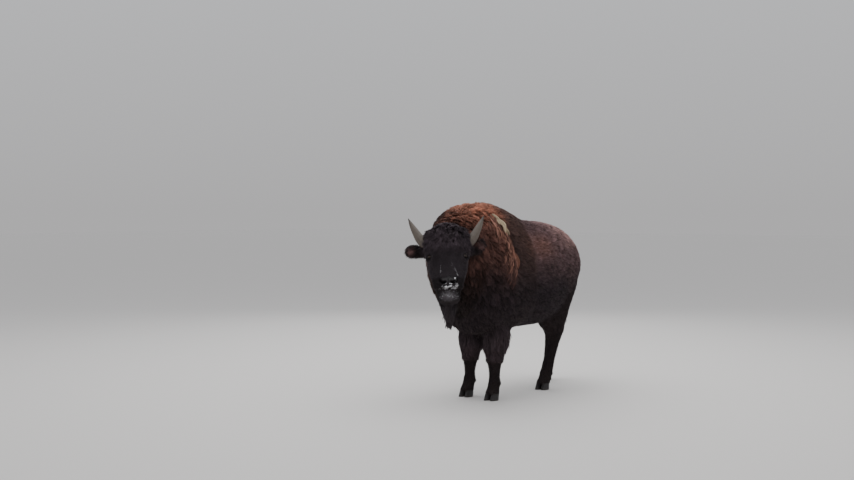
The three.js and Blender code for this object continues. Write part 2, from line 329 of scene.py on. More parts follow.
def makeFloor():
    half = studio["floorSize"] / 2
    corners = [(-half, -half, 0), (half, -half, 0), (half, half, 0), (-half, half, 0)]
    # Matt paper sweep, rolled: evens out the light under the model
    tree, surface, material = newMaterial("paper_sweep_rolled", {"Roughness": 0.9})
    cloud = addNode(tree, "ShaderNodeTexNoise", {"Scale": 3.0, "Detail": 4.0})
    first, second = studio["floorColours"]
    addNode(
        tree, "ShaderNodeMix", {"Factor": cloud.outputs["Fac"], 6: first, 7: second},
        to=surface.inputs["Base Color"], output=2, data_type="RGBA",
    )
    pieceOf("floor", meshOf("floor", corners, [(0, 1, 2, 3)]), material, smooth=False)


def makeSky():
    world = bpy.data.worlds.new("studio")
    bpy.context.scene.world = world
    world.use_nodes = True
    tree = world.node_tree
    backdrop = tree.nodes["Background"]
    backdrop.inputs["Strength"].default_value = studio["skyStrength"]
    # Dimmer at the horizon, so that the far floor runs into it
    way = addNode(tree, "ShaderNodeTexCoord").outputs["Generated"]
    split = addNode(tree, "ShaderNodeSeparateXYZ", {0: way})
    height = addNode(
        tree, "ShaderNodeMapRange",
        {"Value": split.outputs["Z"], "From Min": 0.0, "From Max": studio["horizonHeight"]},
    )
    addNode(
        tree, "ShaderNodeMix", {"Factor": height.outputs["Result"], 6: studio["horizon"], 7: studio["sky"]},
        to=backdrop.inputs["Color"], output=2, data_type="RGBA",
    )


def makeLamps():
    for name, (place, size, watts) in studio["lamps"].items():
        lamp = bpy.data.lights.new(name, "AREA")
        lamp.size = size
        lamp.energy = watts
        placeLookingAt(name, lamp, place, studio["lampsAim"])


makeCamera()
makeFloor()
makeSky()
makeLamps()
print("camera and studio made")


# Regions of the body. Each has its coat: how deep it is, how long and wide its locks are, how far
# they curl, which way they lie (in the head's frame for the head), and its colour high and low.
# The first group is found by the CAD nodes, the second by place, over the first.

sides = ("left", "right")
regions = {
    "face": {
        "nodes": ["head"] + [f"eye_{side}" for side in sides],
        "depth": 0.005, "length": 0.016, "width": 0.0034, "curl": 0.1, "lie": (0.3, 0, -1),
        "high": "#403a3f", "low": "#443e42",
    },
    "beard": {
        "nodes": ["beard"],
        "depth": 0.018, "length": 0.095, "width": 0.0070, "curl": 0.6, "lie": (0.1, 0, -1),
        "high": "#322c2f", "low": "#352f32",
    },
    "neck": {
        "nodes": ["neck"],
        "depth": 0.024, "length": 0.080, "width": 0.0080, "curl": 0.6, "lie": (0.3, 0, -1),
        "high": "#5e4039", "low": "#191314",
    },
    "shoulders": {
        "nodes": ["forequarters"],
        "depth": 0.014, "length": 0.050, "width": 0.0068, "curl": 0.35, "lie": (0.8, 0, -0.6),
        "high": "#5c4641", "low": "#2e272b",
    },
    "barrel": {
        "nodes": ["barrel"],
        "depth": 0.011, "length": 0.040, "width": 0.0056, "curl": 0.25, "lie": (1, 0, -0.35),
        "high": "#795f60", "low": "#2a2329",
    },
    "rump": {
        "nodes": ["hindquarters"],
        "depth": 0.010, "length": 0.038, "width": 0.0056, "curl": 0.25, "lie": (0.8, 0, -0.6),
        "high": "#826869", "low": "#30282c",
    },
    "tail": {
        "nodes": ["tail"],
        "depth": 0.006, "length": 0.060, "width": 0.0050, "curl": 0.3, "lie": (0.15, 0, -1),
        "high": "#4a3b39", "low": "#1b1517",
    },
    "ears": {
        "nodes": [f"ear_{side}" for side in sides],
        "depth": 0.004, "length": 0.048, "width": 0.0046, "curl": 0.4, "lie": (0.2, 0, -1),
        "high": "#1f1a1c", "low": "#1f1a1c",
    },
    "armLegs": {
        "nodes": [f"fore_leg_{side}_upper" for side in sides],
        "depth": 0.014, "length": 0.070, "width": 0.0070, "curl": 0.5, "lie": (0.25, 0, -1),
        "high": "#3b3134", "low": "#41363a",
    },
    "foreLegs": {
        "nodes": [f"fore_leg_{side}_lower" for side in sides],
        "depth": 0.006, "length": 0.022, "width": 0.0036, "curl": 0.1, "lie": (0.05, 0, -1),
        "high": "#292325", "low": "#2d2627",
    },
    "thighs": {
        "nodes": [f"hind_leg_{side}_upper" for side in sides],
        "depth": 0.011, "length": 0.045, "width": 0.0056, "curl": 0.25, "lie": (0.3, 0, -1),
        "high": "#423839", "low": "#30282a",
    },
    "hindLegs": {
        "nodes": [f"hind_leg_{side}_lower" for side in sides],
        "depth": 0.006, "length": 0.024, "width": 0.0036, "curl": 0.1, "lie": (0.1, 0, -1),
        "high": "#292325", "low": "#2d2627",
    },
    "feet": {
        "nodes": [f"{end}_foot_{side}" for end in ("fore", "hind") for side in sides],
        "depth": 0.003, "length": 0.034, "width": 0.0040, "curl": 0.2, "lie": (-0.1, 0, -1),
        "high": "#2d2627", "low": "#312a2a",
    },
    "crown": {
        "depth": 0.020, "length": 0.092, "width": 0.0068, "curl": 0.9, "lie": (-0.7, 0, -0.8),
        "high": "#433a40", "low": "#3a3237",
    },
    "cape": {
        "depth": 0.024, "length": 0.074, "width": 0.0076, "curl": 0.8, "lie": (0.55, 0, -0.85),
        "high": "#62433b", "low": "#2a2327",
    },
    "chaps": {
        "depth": 0.016, "length": 0.120, "width": 0.0078, "curl": 0.5, "lie": (0.35, 0, -1),
        "high": "#292123", "low": "#40363a",
    },
}
regionNames = list(regions)
nodeRegions = [name for name in regionNames if "nodes" in regions[name]]
headRegions = ("face", "beard", "crown", "ears")


# The skin: one closed mesh from all the flesh nodes, smoothed, finer at the head

skinForm = {
    "voxel": 0.0125, "smoothing": 22, "headSmoothing": 3, "afterInset": 5, "regionBlur": 12,
    "headReach": (0.21, 0.26, 0.42),       # half sizes of the finer zone, in the head's frame
    "headMiddle": (0.0, 0.0, -0.19),
    "headEdge": (0.92, 1.0),               # the sculpting fades out between these shares of it
    "muzzleTop": -0.325, "muzzleBack": 0.02,   # below and in front of these the face is finer still
    "eyeZone": (0.058, 0.036),             # how far round each eye the mesh is finer, twice
}


def fleshSource():
    names = [node for region in nodeRegions for node in regions[region]["nodes"]]
    points, faces, owners = joinedNodes(names)
    groups = [number for number, region in enumerate(nodeRegions) for _ in regions[region]["nodes"]]
    return points, faces, np.array(groups)[owners]


def ballAt(place, radius, finer=3):
    ball = bmesh.new()
    bmesh.ops.create_icosphere(ball, subdivisions=finer, radius=radius)
    points, faces = takenFrom(ball)
    return points + place, faces


def refine(mesh, chosen):  # splits each edge whose ends are both chosen
    work = bmesh.new()
    work.from_mesh(mesh)
    edges = [e for e in work.edges if chosen[e.verts[0].index] and chosen[e.verts[1].index]]
    bmesh.ops.subdivide_edges(work, edges=edges, cuts=1, use_grid_fill=True)
    work.to_mesh(mesh)
    work.free()
    mesh.update()


def headZone(places):  # under 1 within the box round the head
    return np.abs((inHead(places) - skinForm["headMiddle"]) / skinForm["headReach"]).max(1)


def nearEye(local):
    return np.linalg.norm(folded(local) - np.array(head["eye"]), axis=1)


def refineHead(mesh):
    refine(mesh, headZone(pointsOf(mesh)) < 1)
    places = pointsOf(mesh)
    within = (headZone(places) < 1) * 1.0
    movePoints(mesh, relaxed(places, edgesOf(mesh), skinForm["headSmoothing"], where=within))
    places = pointsOf(mesh)
    local = inHead(places)
    muzzle = (local[:, 2] < skinForm["muzzleTop"]) & (local[:, 0] < skinForm["muzzleBack"])
    refine(mesh, muzzle & (headZone(places) < 1) | (nearEye(local) < skinForm["eyeZone"][0]))
    refine(mesh, nearEye(inHead(pointsOf(mesh))) < skinForm["eyeZone"][1])


def makeSkinMesh():
    points, faces, _ = fleshSource()
    for place in bothSides(head["hornRoot"]):  # a ball fills each horn's root, so no socket is left
        ballPoints, ballFaces = ballAt(fromHead(place), head["hornRadius"])
        faces = faces + shifted(ballFaces, len(points))
        points = np.concatenate([points, ballPoints])
    mesh = remeshed("skin", points, faces, skinForm["voxel"])
    movePoints(mesh, relaxed(pointsOf(mesh), edgesOf(mesh), skinForm["smoothing"]))
    refineHead(mesh)
    return mesh


def regionWeights(mesh):  # how much each point belongs to each region
    points, faces, groups = fleshSource()
    tree = BVHTree.FromPolygons([Vector(p) for p in points], faces)
    places = pointsOf(mesh)
    nearest = [tree.find_nearest(Vector(p))[2] for p in places]
    weights = np.zeros((len(places), len(regionNames)))
    weights[np.arange(len(places)), groups[nearest]] = 1
    weights = blurred(weights, edgesOf(mesh), skinForm["regionBlur"])
    return addPlacedRegions(places, weights)


placed = {                                 # where the regions that are found by place begin and end
    "cape": {"over": ("shoulders", "barrel"), "edge": -0.27, "blend": 0.05, "blendOnBack": 0.14,
             "back": (1.38, 1.52), "low": (0.62, 0.82), "sway": 0.04, "swaySize": 0.10},
    "crown": {"over": ("face",), "low": (-0.150, -0.020), "back": (0.10, 0.16)},  # in the head's frame
    "chaps": {"over": ("armLegs",), "low": (0.42, 0.50), "high": (0.58, 0.72), "along": (-0.75, -0.10)},
}


def addPlacedRegions(places, weights):
    local, x, z = inHead(places), places[:, 0], places[:, 2]
    cape, crown, chaps = placed.values()
    blend = cape["blend"] + (cape["blendOnBack"] - cape["blend"]) * fade(z, *cape["back"])
    swayed = x + cape["sway"] * ripple(places, cape["swaySize"], 1)
    ahead = 1 - fade(swayed, cape["edge"] - blend, cape["edge"] + blend)
    foremost, hindmost = chaps["along"]
    masks = {
        "cape": ahead * fade(z, *cape["low"]),
        "crown": fade(local[:, 2], *crown["low"]) * (1 - fade(local[:, 0], *crown["back"])),
        "chaps": fade(z, *chaps["low"]) * (1 - fade(z, *chaps["high"])) * ((x > foremost) & (x < hindmost)),
    }
    for name, mask in masks.items():
        for under in placed[name]["over"]:
            taken = weights[:, regionNames.index(under)] * mask
            weights[:, regionNames.index(name)] += taken
            weights[:, regionNames.index(under)] -= taken
    return weights


def coatValue(weights, name):
    return weights @ np.array([regions[region][name] for region in regionNames])


def insetSkin(mesh, weights):
    points = pointsOf(mesh)
    share = np.minimum(headZone(points), 1.0)  # less smoothing towards the middle of the head
    inset = points - normalsOf(mesh) * coatValue(weights, "depth")[:, None]
    movePoints(mesh, relaxed(inset, edgesOf(mesh), skinForm["afterInset"], where=share))


# The face's forms, as heights over the skin in metres, in the head's frame with both sides folded together

faceLumps = {
    "tearHollow": {"at": (-0.088, 0.098, -0.205), "size": (0.05, 0.04, 0.06), "height": -0.007},
    "temple": {"at": (0.02, 0.165, -0.13), "size": (0.05, 0.05, 0.05), "height": -0.006},
    "jawMuscle": {"at": (0.050, 0.125, -0.215), "size": (0.09, 0.07, 0.10), "height": 0.010},
    "chin": {"at": (-0.070, 0.0, -0.478), "size": (0.06, 0.07, 0.04), "height": 0.008},
    "noseEnd": {"at": (-0.110, 0.0, -0.352), "size": (0.05, 0.09, 0.07), "height": 0.008},
    "cheekHollow": {"at": (-0.060, 0.100, -0.300), "size": (0.06, 0.05, 0.08), "height": -0.009},
    "foreheadBulge": {"at": (-0.090, 0.0, -0.120), "size": (0.08, 0.11, 0.11), "height": 0.010},
    "crownCorner": {"at": (0.0, 0.120, 0.110), "size": (0.13, 0.085, 0.085), "height": -0.028},
    "crownTop": {"at": (0.0, 0.0, 0.125), "size": (0.14, 0.10, 0.07), "height": 0.010},
}
faceForms = {
    "orbit": {"reach": 0.026, "fall": 0.020, "height": 0.011},
    "bridge": {"low": (-0.36, -0.30), "high": (-0.16, -0.09), "half": 0.034, "height": 0.006},
    "groove": {"beside": 0.080, "half": 0.025, "height": -0.007},
    "philtrum": {"low": (-0.410, -0.395), "high": (-0.350, -0.335), "half": 0.0045, "height": -0.0035},
    "front": (-0.05, -0.01),
}
nostrilForm = {                            # a comma from the middle, up and outwards
    "line": ((0.024, -0.366), (0.042, -0.368), (0.060, -0.352), (0.064, -0.340)),
    "edge": (0.003675, 0.012075), "depth": -0.036, "wing": 0.018, "wingHalf": 0.007, "wingHeight": 0.006,
    "front": (-0.05, -0.03),
}
mouthForm = {
    "front": -0.10, "height": -0.411, "slope": 0.22, "backEnd": (-0.045, 0.005), "half": 0.0042,
    "depth": -0.011, "upperLip": 0.005, "lowerLip": 0.002, "lipHalf": 0.010, "lipAway": 0.014,
    "jawTuck": -0.013, "jawFrom": (0, 0.012), "jawTo": (0.05, 0.10), "jawSides": (0.03, 0.09),
}
lidForm = {
    "axis": (-0.62, 0.78, 0.06),           # where the eye looks
    "slant": -14,                          # degrees that the front corner is lower
    "halfWidth": 0.0200, "halfHeight": 0.0108, "upper": 1.15, "lower": 0.85, "edge": (-0.0006, 0.0010),
    "thick": 0.0024, "thinning": (0.01, 0.02), "behind": 0.005,
    "fromEye": (0.021, 0.036),             # the lids blend into the face between these
    "inward": -0.004, "reach": 0.05,       # how far behind and round the ball the skin is drawn
}
earForm = {
    "root": (0.062, 0.138), "rootHeight": {-1: -0.092, 1: -0.072}, "raise": {-1: 30, 1: 8},
    "start": (0.045, 0.085), "end": (0.120, 0.160), "facing": (0.1, 0.7), "half": 0.0204, "depth": -0.030,
}


def distanceToLine(points, line):
    best = np.full(len(points), np.inf)
    for start, end in zip(line, line[1:]):
        a, b = np.array(start), np.array(end)
        share = np.clip(((points - a) @ (b - a)) / ((b - a) @ (b - a)), 0, 1)
        best = np.minimum(best, np.linalg.norm(points - a - share[:, None] * (b - a), axis=1))
    return best


def bell(value, half):
    return np.exp(-((value / half) ** 2))


def mouthDistance(half):
    along = half[:, 0] - mouthForm["front"]
    return half[:, 2] - mouthForm["height"] - mouthForm["slope"] * along


def faceHeights(local):
    half = folded(local)
    x, y, z = half.T
    orbit, bridge, groove, philtrum = (faceForms[name] for name in ("orbit", "bridge", "groove", "philtrum"))
    height = orbit["height"] * bell(np.maximum(nearEye(local) - orbit["reach"], 0), orbit["fall"])
    for lump in faceLumps.values():
        height += lump["height"] * blob(half, lump["at"], lump["size"])
    front = 1 - fade(x, *faceForms["front"])
    along = front * fade(z, *bridge["low"]) * (1 - fade(z, *bridge["high"]))
    height += along * bridge["height"] * bell(y, bridge["half"])
    height += along * groove["height"] * bell(y - groove["beside"], groove["half"])
    low = front * fade(z, *philtrum["low"]) * (1 - fade(z, *philtrum["high"]))
    height += low * philtrum["height"] * bell(y, philtrum["half"])
    toNostril = distanceToLine(half[:, 1:], nostrilForm["line"])
    ahead = 1 - fade(x, *nostrilForm["front"])
    height += ahead * nostrilForm["depth"] * (1 - fade(toNostril, *nostrilForm["edge"]))
    wing = bell(toNostril - nostrilForm["wing"], nostrilForm["wingHalf"])
    height += ahead * nostrilForm["wingHeight"] * wing
    toMouth = mouthDistance(half)
    along = 1 - fade(x, *mouthForm["backEnd"])
    below = fade(-toMouth, *mouthForm["jawFrom"]) * (1 - fade(-toMouth, *mouthForm["jawTo"]))
    height += mouthForm["jawTuck"] * below * fade(y + 0.5 * along, *mouthForm["jawSides"])
    height += along * mouthForm["depth"] * bell(toMouth, mouthForm["half"])
    height += along * mouthForm["upperLip"] * bell(toMouth - mouthForm["lipAway"], mouthForm["lipHalf"])
    height += along * mouthForm["lowerLip"] * bell(toMouth + mouthForm["lipAway"], mouthForm["lipHalf"])
    return height


def earAlong(local, side):  # how far along its ear a point is, and how far from the ear's middle line
    height, lift = earForm["rootHeight"][side], math.radians(earForm["raise"][side])
    root = np.array((earForm["root"][0], side * earForm["root"][1], height))
    way = np.array((0, side * math.cos(lift), math.sin(lift)))
    along = (local - root) @ way
    off = local - root - along[:, None] * way
    return along, off


def earHeights(local, normals):
    height = np.zeros(len(local))
    facing = fade(-normals[:, 0], *earForm["facing"])
    for side in (-1, 1):
        along, off = earAlong(local, side)
        span = fade(along, *earForm["start"]) * (1 - fade(along, *earForm["end"]))
        height += earForm["depth"] * span * facing * bell(off[:, 2], earForm["half"])
    return height


def lidFrame(side):
    axis = unit(np.array(lidForm["axis"]) * (1, side, 1))
    forward = unit(np.cross(axis, (0, 0, 1)) * -side)
    upward = np.cross(forward, axis) * side
    if upward[2] < 0:
        upward = -upward
    if forward[0] > 0:
        forward = -forward
    slant = math.radians(lidForm["slant"])
    return (axis, forward * math.cos(slant) + upward * math.sin(slant),
            upward * math.cos(slant) - forward * math.sin(slant))


def shapeLids(local):
    for side in (-1, 1):
        axis, forward, upward = lidFrame(side)
        off = local - np.array(head["eye"]) * (1, side, 1)
        out, along, up = off @ axis, off @ forward, off @ upward
        wide = np.hypot(along, up)
        near = np.linalg.norm(off, axis=1) < lidForm["reach"]
        hold = (1 - fade(wide, *lidForm["fromEye"])) * (out > lidForm["inward"]) * near
        edge = lidForm["halfHeight"] * (1 - (along / lidForm["halfWidth"]) ** 2)
        edge = edge * np.where(up > 0, lidForm["upper"], lidForm["lower"])
        opened = fade(edge - np.abs(up), *lidForm["edge"])
        radius = head["eyeRadius"] + lidForm["thick"] * (1 - 0.5 * fade(wide, *lidForm["thinning"]))
        radius = radius - opened * (lidForm["thick"] + lidForm["behind"])
        # Only the outward half is drawn onto the ball, point by point along the eye's own axis
        wanted = np.sqrt(np.maximum(radius ** 2 - np.minimum(wide, 0.95 * radius) ** 2, 0))
        local = local + (hold * (wanted - out))[:, None] * axis
    return local


def sculptHead(mesh):
    points, normals = pointsOf(mesh), normalsOf(mesh)
    local, turned = inHead(points), normals @ headTurn
    near = 1 - fade(headZone(points), *skinForm["headEdge"])
    height = near * faceHeights(local)
    local = local + turned * height[:, None]
    local = local + turned * earHeights(local, turned)[:, None]
    movePoints(mesh, fromHead(local))
    movePoints(mesh, relaxed(pointsOf(mesh), edgesOf(mesh), 1, where=near))
    movePoints(mesh, fromHead(shapeLids(inHead(pointsOf(mesh)))))


skinMesh = makeSkinMesh()
weights = regionWeights(skinMesh)
insetSkin(skinMesh, weights)
sculptHead(skinMesh)
print("skin made, with", len(skinMesh.polygons), "faces")


# Fields over the skin that the skin and the coat share: lie, length, width, curl and colour


lieForm = {
    "parting": (0.02, 0.14),               # where the head's hair parts, from its middle outwards
    "crownOut": 0.7, "earsOut": 1.6, "faceBack": 0.7, "wander": 0.22, "wanderSize": 0.16,
}


def lieOf(mesh, weights):
    places, normals = pointsOf(mesh), normalsOf(mesh)
    across = inHead(places)[:, 1]
    outward = np.sign(across) * fade(np.abs(across), *lieForm["parting"])
    flow = np.zeros_like(places)
    for number, name in enumerate(regionNames):
        way = np.tile(np.array(regions[name]["lie"], float), (len(places), 1))
        if name == "crown":
            way[:, 1] = lieForm["crownOut"] * outward
        if name == "ears":
            way[:, 1] = lieForm["earsOut"] * np.sign(across)
        if name == "face":
            way[:, 0] += lieForm["faceBack"] * np.abs(outward)
        if name in headRegions:
            way = way @ headTurn.T
        flow += weights[:, number:number + 1] * unit(way)
    wander = [ripple(places, lieForm["wanderSize"], seed) for seed in (4, 5, 6)]
    flow += lieForm["wander"] * np.column_stack(wander)
    flow -= (flow * normals).sum(1)[:, None] * normals
    return unit(flow)


marks = {
    "goldPatch": {"at": (0.195, -0.28, 1.25), "size": (0.32, 0.2, 0.17), "colour": "#8a5f4f", "share": 0.5},
    # Painted highlight: the top of the rump, where the skin faces upwards, made lighter as if lit from above
    "rumpTopHighlight": {"back": (0.36, 0.78), "tailRoot": (0.92, 1.04), "facing": (0.15, 0.85),
                "above": (1.08, 1.22), "colour": "#c9a29c", "share": 0.84},
    "humpTop": {"back": (-1.02, -0.80), "above": (1.38, 1.57), "colour": "#a66d58"},
    # Painted shade: the nape, between the hump and the crown, darkened as if in shadow
    "nape": {"at": (-0.80, 0.02, 1.36), "size": (0.15, 0.20, 0.13), "colour": "#33272a", "share": 0.7},
    # Painted shade over one side of the hump, as on its side turned from the light
    "humpSide": {"at": (-0.74, 0.12, 1.47), "size": (0.30, 0.24, 0.16), "colour": "#33211f", "share": 2.6},
    "saddle": {"at": (0.15, -0.08, 1.42), "size": (0.32, 0.32, 0.16), "colour": "#3f3033", "share": 0.8},
    # Painted shadow: a dark band along the cape's rear edge, standing in for the shadow it casts on the
    # flank
    "capeRimShadow": {"at": -0.255, "reach": 0.05, "low": (0.95, 1.2), "high": (1.36, 1.48), "colour": "#211819",
                "share": 0.6},
    "eyeRim": {"reach": (0.022, 0.034), "colour": "#0f0b0b"},
    "innerEar": {"start": (0.085, 0.115), "end": (0.135, 0.165), "facing": (0.0, 0.5), "half": 0.022,
                 "colour": "#8a6a68", "share": 0.8},
    "muzzle": {"high": (-0.330, -0.300), "back": (-0.05, 0.0), "colour": "#1a1617", "share": 0.7},
    "chinFrost": {"at": (-0.085, 0.0, -0.462), "size": (0.09, 0.11, 0.055), "colour": "#8f8a90",
                  "share": 0.6},
}
mottle = {
    "lightens": (0.82, 1.40),              # heights between which the body lightens
    "drift": 0.05, "driftSize": 0.2,       # how far that border wanders up and down
    "fine": 0.22, "fineSize": 0.045, "broad": 0.16, "broadSize": 0.16,
}


def pelageOf(mesh, weights):
    places, normals = pointsOf(mesh), normalsOf(mesh)
    local, turned = inHead(places), normals @ headTurn
    x, z = places[:, 0], places[:, 2]
    cape, neck, ears = (weights[:, regionNames.index(name)] for name in ("cape", "neck", "ears"))
    drift = mottle["drift"] * ripple(places, mottle["driftSize"], 7)
    height = fade(z + drift, *mottle["lightens"])[:, None]
    colour = np.zeros_like(places)
    for number, name in enumerate(regionNames):
        low, high = (np.array(linear(regions[name][end])) for end in ("low", "high"))
        colour += weights[:, number:number + 1] * (low + (high - low) * height)

    def tint(name, mask):
        amount = np.minimum(mask * marks[name].get("share", 1), 1)[:, None]
        return colour * (1 - amount) + np.array(linear(marks[name]["colour"])) * amount

    def spot(name, points):
        return tint(name, blob(points, marks[name]["at"], marks[name]["size"]))

    colour = spot("goldPatch", np.column_stack([x, -np.abs(places[:, 1]), z]))
    # Painted highlight on the upward-facing top of the rump
    top = marks["rumpTopHighlight"]
    crest = fade(x, *top["back"]) * fade(normals[:, 2], *top["facing"])
    colour = tint("rumpTopHighlight", crest * fade(z, *top["above"]) * (1 - fade(x, *top["tailRoot"])))
    hump = marks["humpTop"]
    colour = tint("humpTop", fade(z + drift, *hump["above"]) * fade(x, *hump["back"]) * (cape + neck))
    # The nape and one side of the hump take painted shade here
    for name in ("nape", "humpSide", "saddle"):
        colour = spot(name, places)
    # Painted shadow in a band along the cape's rear edge
    rim = marks["capeRimShadow"]
    edge = 1 - fade(np.abs(x - rim["at"]), 0, rim["reach"])
    colour = tint("capeRimShadow", edge * fade(z, *rim["low"]) * (1 - fade(z, *rim["high"])))
    colour = tint("eyeRim", 1 - fade(nearEye(local), *marks["eyeRim"]["reach"]))
    inner = marks["innerEar"]
    for side in (-1, 1):
        along, off = earAlong(local, side)
        hollow = fade(along, *inner["start"]) * (1 - fade(along, *inner["end"]))
        hollow *= fade(-turned[:, 0], *inner["facing"]) * bell(off[:, 2], inner["half"])
        colour = tint("innerEar", hollow * ears)
    muzzle = marks["muzzle"]
    front = (1 - fade(local[:, 2], *muzzle["high"])) * (1 - fade(local[:, 0], *muzzle["back"]))
    colour = tint("muzzle", front * (headZone(places) < 1))
    colour = spot("chinFrost", local)
    fine, broad = (mottle[name] * ripple(places, mottle[name + "Size"], seed)
                   for name, seed in (("fine", 8), ("broad", 9)))
    return colour * (1 + fine + broad)[:, None]


def unwrap(piece):  # the skin's own unwrap, which places the locks' colours too
    bpy.context.view_layer.objects.active = piece
    piece.select_set(True)
    bpy.ops.object.mode_set(mode="EDIT")
    bpy.ops.mesh.select_all(action="SELECT")
    bpy.ops.uv.smart_project(angle_limit=1.15, island_margin=0.001)
    bpy.ops.object.mode_set(mode="OBJECT")
    piece.select_set(False)
    piece.data.uv_layers[0].name = "OFBake"


def hideMaterial():
    # Winter hide, grown: short dense underwool that drinks light, with fine combed relief
    tree, surface, material = newMaterial(
        "winter_underwool_grown", {"Roughness": 0.85, "IOR": 1.5, "Specular IOR Level": 0.2},
    )
    lie = addNode(tree, "ShaderNodeAttribute", attribute_name="lie").outputs["Vector"]
    place = addNode(tree, "ShaderNodeTexCoord").outputs["Object"]
    along = addNode(tree, "ShaderNodeVectorMath", {0: place, 1: lie}, operation="DOT_PRODUCT")
    shrink = addNode(
        tree, "ShaderNodeVectorMath", {0: lie, "Scale": along.outputs["Value"]}, operation="SCALE",
    )
    most = addNode(tree, "ShaderNodeVectorMath", {0: shrink.outputs[0], "Scale": 0.86}, operation="SCALE")
    combed = addNode(tree, "ShaderNodeVectorMath", {0: place, 1: most.outputs[0]}, operation="SUBTRACT")
    # Hairs are 0.05 mm thick, drawn as strands of about 3 mm so that they show
    strands = addNode(
        tree, "ShaderNodeTexNoise", {"Vector": combed.outputs[0], "Scale": 330.0, "Detail": 3.0},
    )
    fibreFinish(tree, surface, strands, (0.45, 1.25), (0.7, 0.003))
    return material


def makeSkin():
    setColours(skinMesh, "pelage", fields["pelage"])
    layer = skinMesh.attributes.new("lie", "FLOAT_VECTOR", "POINT")
    layer.data.foreach_set("vector", fields["lie"].astype(np.float32).ravel())
    skin = pieceOf("skin", skinMesh, hideMaterial())
    unwrap(skin)
    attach(skin, "root")
    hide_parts(*[node for region in nodeRegions for node in regions[region]["nodes"]
                        if not node.startswith("eye")])


fields = {
    "lie": lieOf(skinMesh, weights),
    "pelage": pelageOf(skinMesh, weights),
    "normal": normalsOf(skinMesh),
    "place": pointsOf(skinMesh),
    "size": np.column_stack([coatValue(weights, name) for name in ("depth", "length", "width", "curl")]),
    "weights": weights,
}
makeSkin()
print("skin coloured and unwrapped")


# The nose pad: bare leather over the end of the muzzle, with the nostrils in it

nosePad = {
    "heights": (-0.404, -0.396, -0.378, -0.352, -0.322, -0.306),
    "halfWidths": (0.0, 0.034, 0.058, 0.078, 0.052, 0.0),
    "border": 0.012, "front": -0.045, "proud": 0.0012, "tucked": 0.00168, "thick": 0.003,
    "colours": ("#0f0c0d", "#231d20"),
}


def padMask(local):  # 1 well inside the pad and 0 outside it
    half = folded(local)
    reach = np.interp(half[:, 2], nosePad["heights"], nosePad["halfWidths"])
    return fade(reach - half[:, 1], 0, nosePad["border"]) * (half[:, 0] < nosePad["front"])


def leatherMaterial():
    # Nose leather, grown: bare black skin in small cobbles, damp, so it takes a soft shine
    tree, surface, material = newMaterial(
        "nose_leather_grown", {"Roughness": 0.45, "IOR": 1.45, "Specular IOR Level": 0.35},
    )
    place = addNode(tree, "ShaderNodeTexCoord").outputs["Object"]
    # Cobbles are 2 mm across, drawn at 3 mm so that they show
    cobbles = addNode(tree, "ShaderNodeTexVoronoi", {"Vector": place, "Scale": 330.0})
    stain = addNode(tree, "ShaderNodeTexNoise", {"Vector": place, "Scale": 60.0, "Detail": 4.0})
    stainFinish(
        tree, surface, stain.outputs["Fac"], nosePad["colours"], cobbles.outputs["Distance"], (0.6, 0.001),
    )
    return material


def makeNosePad():
    mask = padMask(inHead(fields["place"]))
    rise = (nosePad["proud"] + nosePad["tucked"]) * mask - nosePad["tucked"]
    lifted = fields["place"] + fields["normal"] * rise[:, None]
    used = [p for p in skinMesh.polygons if min(mask[v] for v in p.vertices) > 0.02]
    numbers = sorted({v for p in used for v in p.vertices})
    order = {v: i for i, v in enumerate(numbers)}
    under = lifted[numbers] - fields["normal"][numbers] * nosePad["thick"]
    points = np.concatenate([lifted[numbers], under])
    faces = [tuple(order[v] for v in p.vertices) for p in used]
    edges = dict.fromkeys(pair for face in faces for pair in zip(face, face[1:] + face[:1]))
    count = len(numbers)
    rim = [(b, a, a + count, b + count) for a, b in edges if (b, a) not in edges]
    inner = shifted([face[::-1] for face in faces], count)
    pad = pieceOf("nose_pad", meshOf("nose_pad", points, faces + inner + rim), leatherMaterial())
    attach(pad, "root")


makeNosePad()
print("nose pad made")


# Eyes: a ball with a raised clear front, dark brown, with a level pupil

eyeLook = {
    "iris": 0.0135, "irisEdge": 0.0012, "ring": (0.00405, 0.0135), "bulge": 0.0012, "segments": 48,
    "pupilWide": 0.0085, "pupilTall": 0.0042, "pupilEdge": (0.85, 1.15),
    "white": "#3b2a22", "irisOuter": "#140c08", "irisInner": "#2c190f", "pupil": "#030202",
}


def eyeMaterial():
    # Eye, grown: wet cornea over a dark iris, a hard small highlight
    tree, surface, material = newMaterial("eye_wet_cornea", {
        "Roughness": 0.06, "IOR": 1.38, "Specular IOR Level": 0.3,
        "Coat Weight": 0.35, "Coat Roughness": 0.05,
    })
    place = addNode(tree, "ShaderNodeTexCoord").outputs["Object"]
    fibres = addNode(tree, "ShaderNodeTexNoise", {"Vector": place, "Scale": 900.0, "Detail": 3.0})
    fibreFinish(tree, surface, fibres, (0.7, 1.3))
    return material


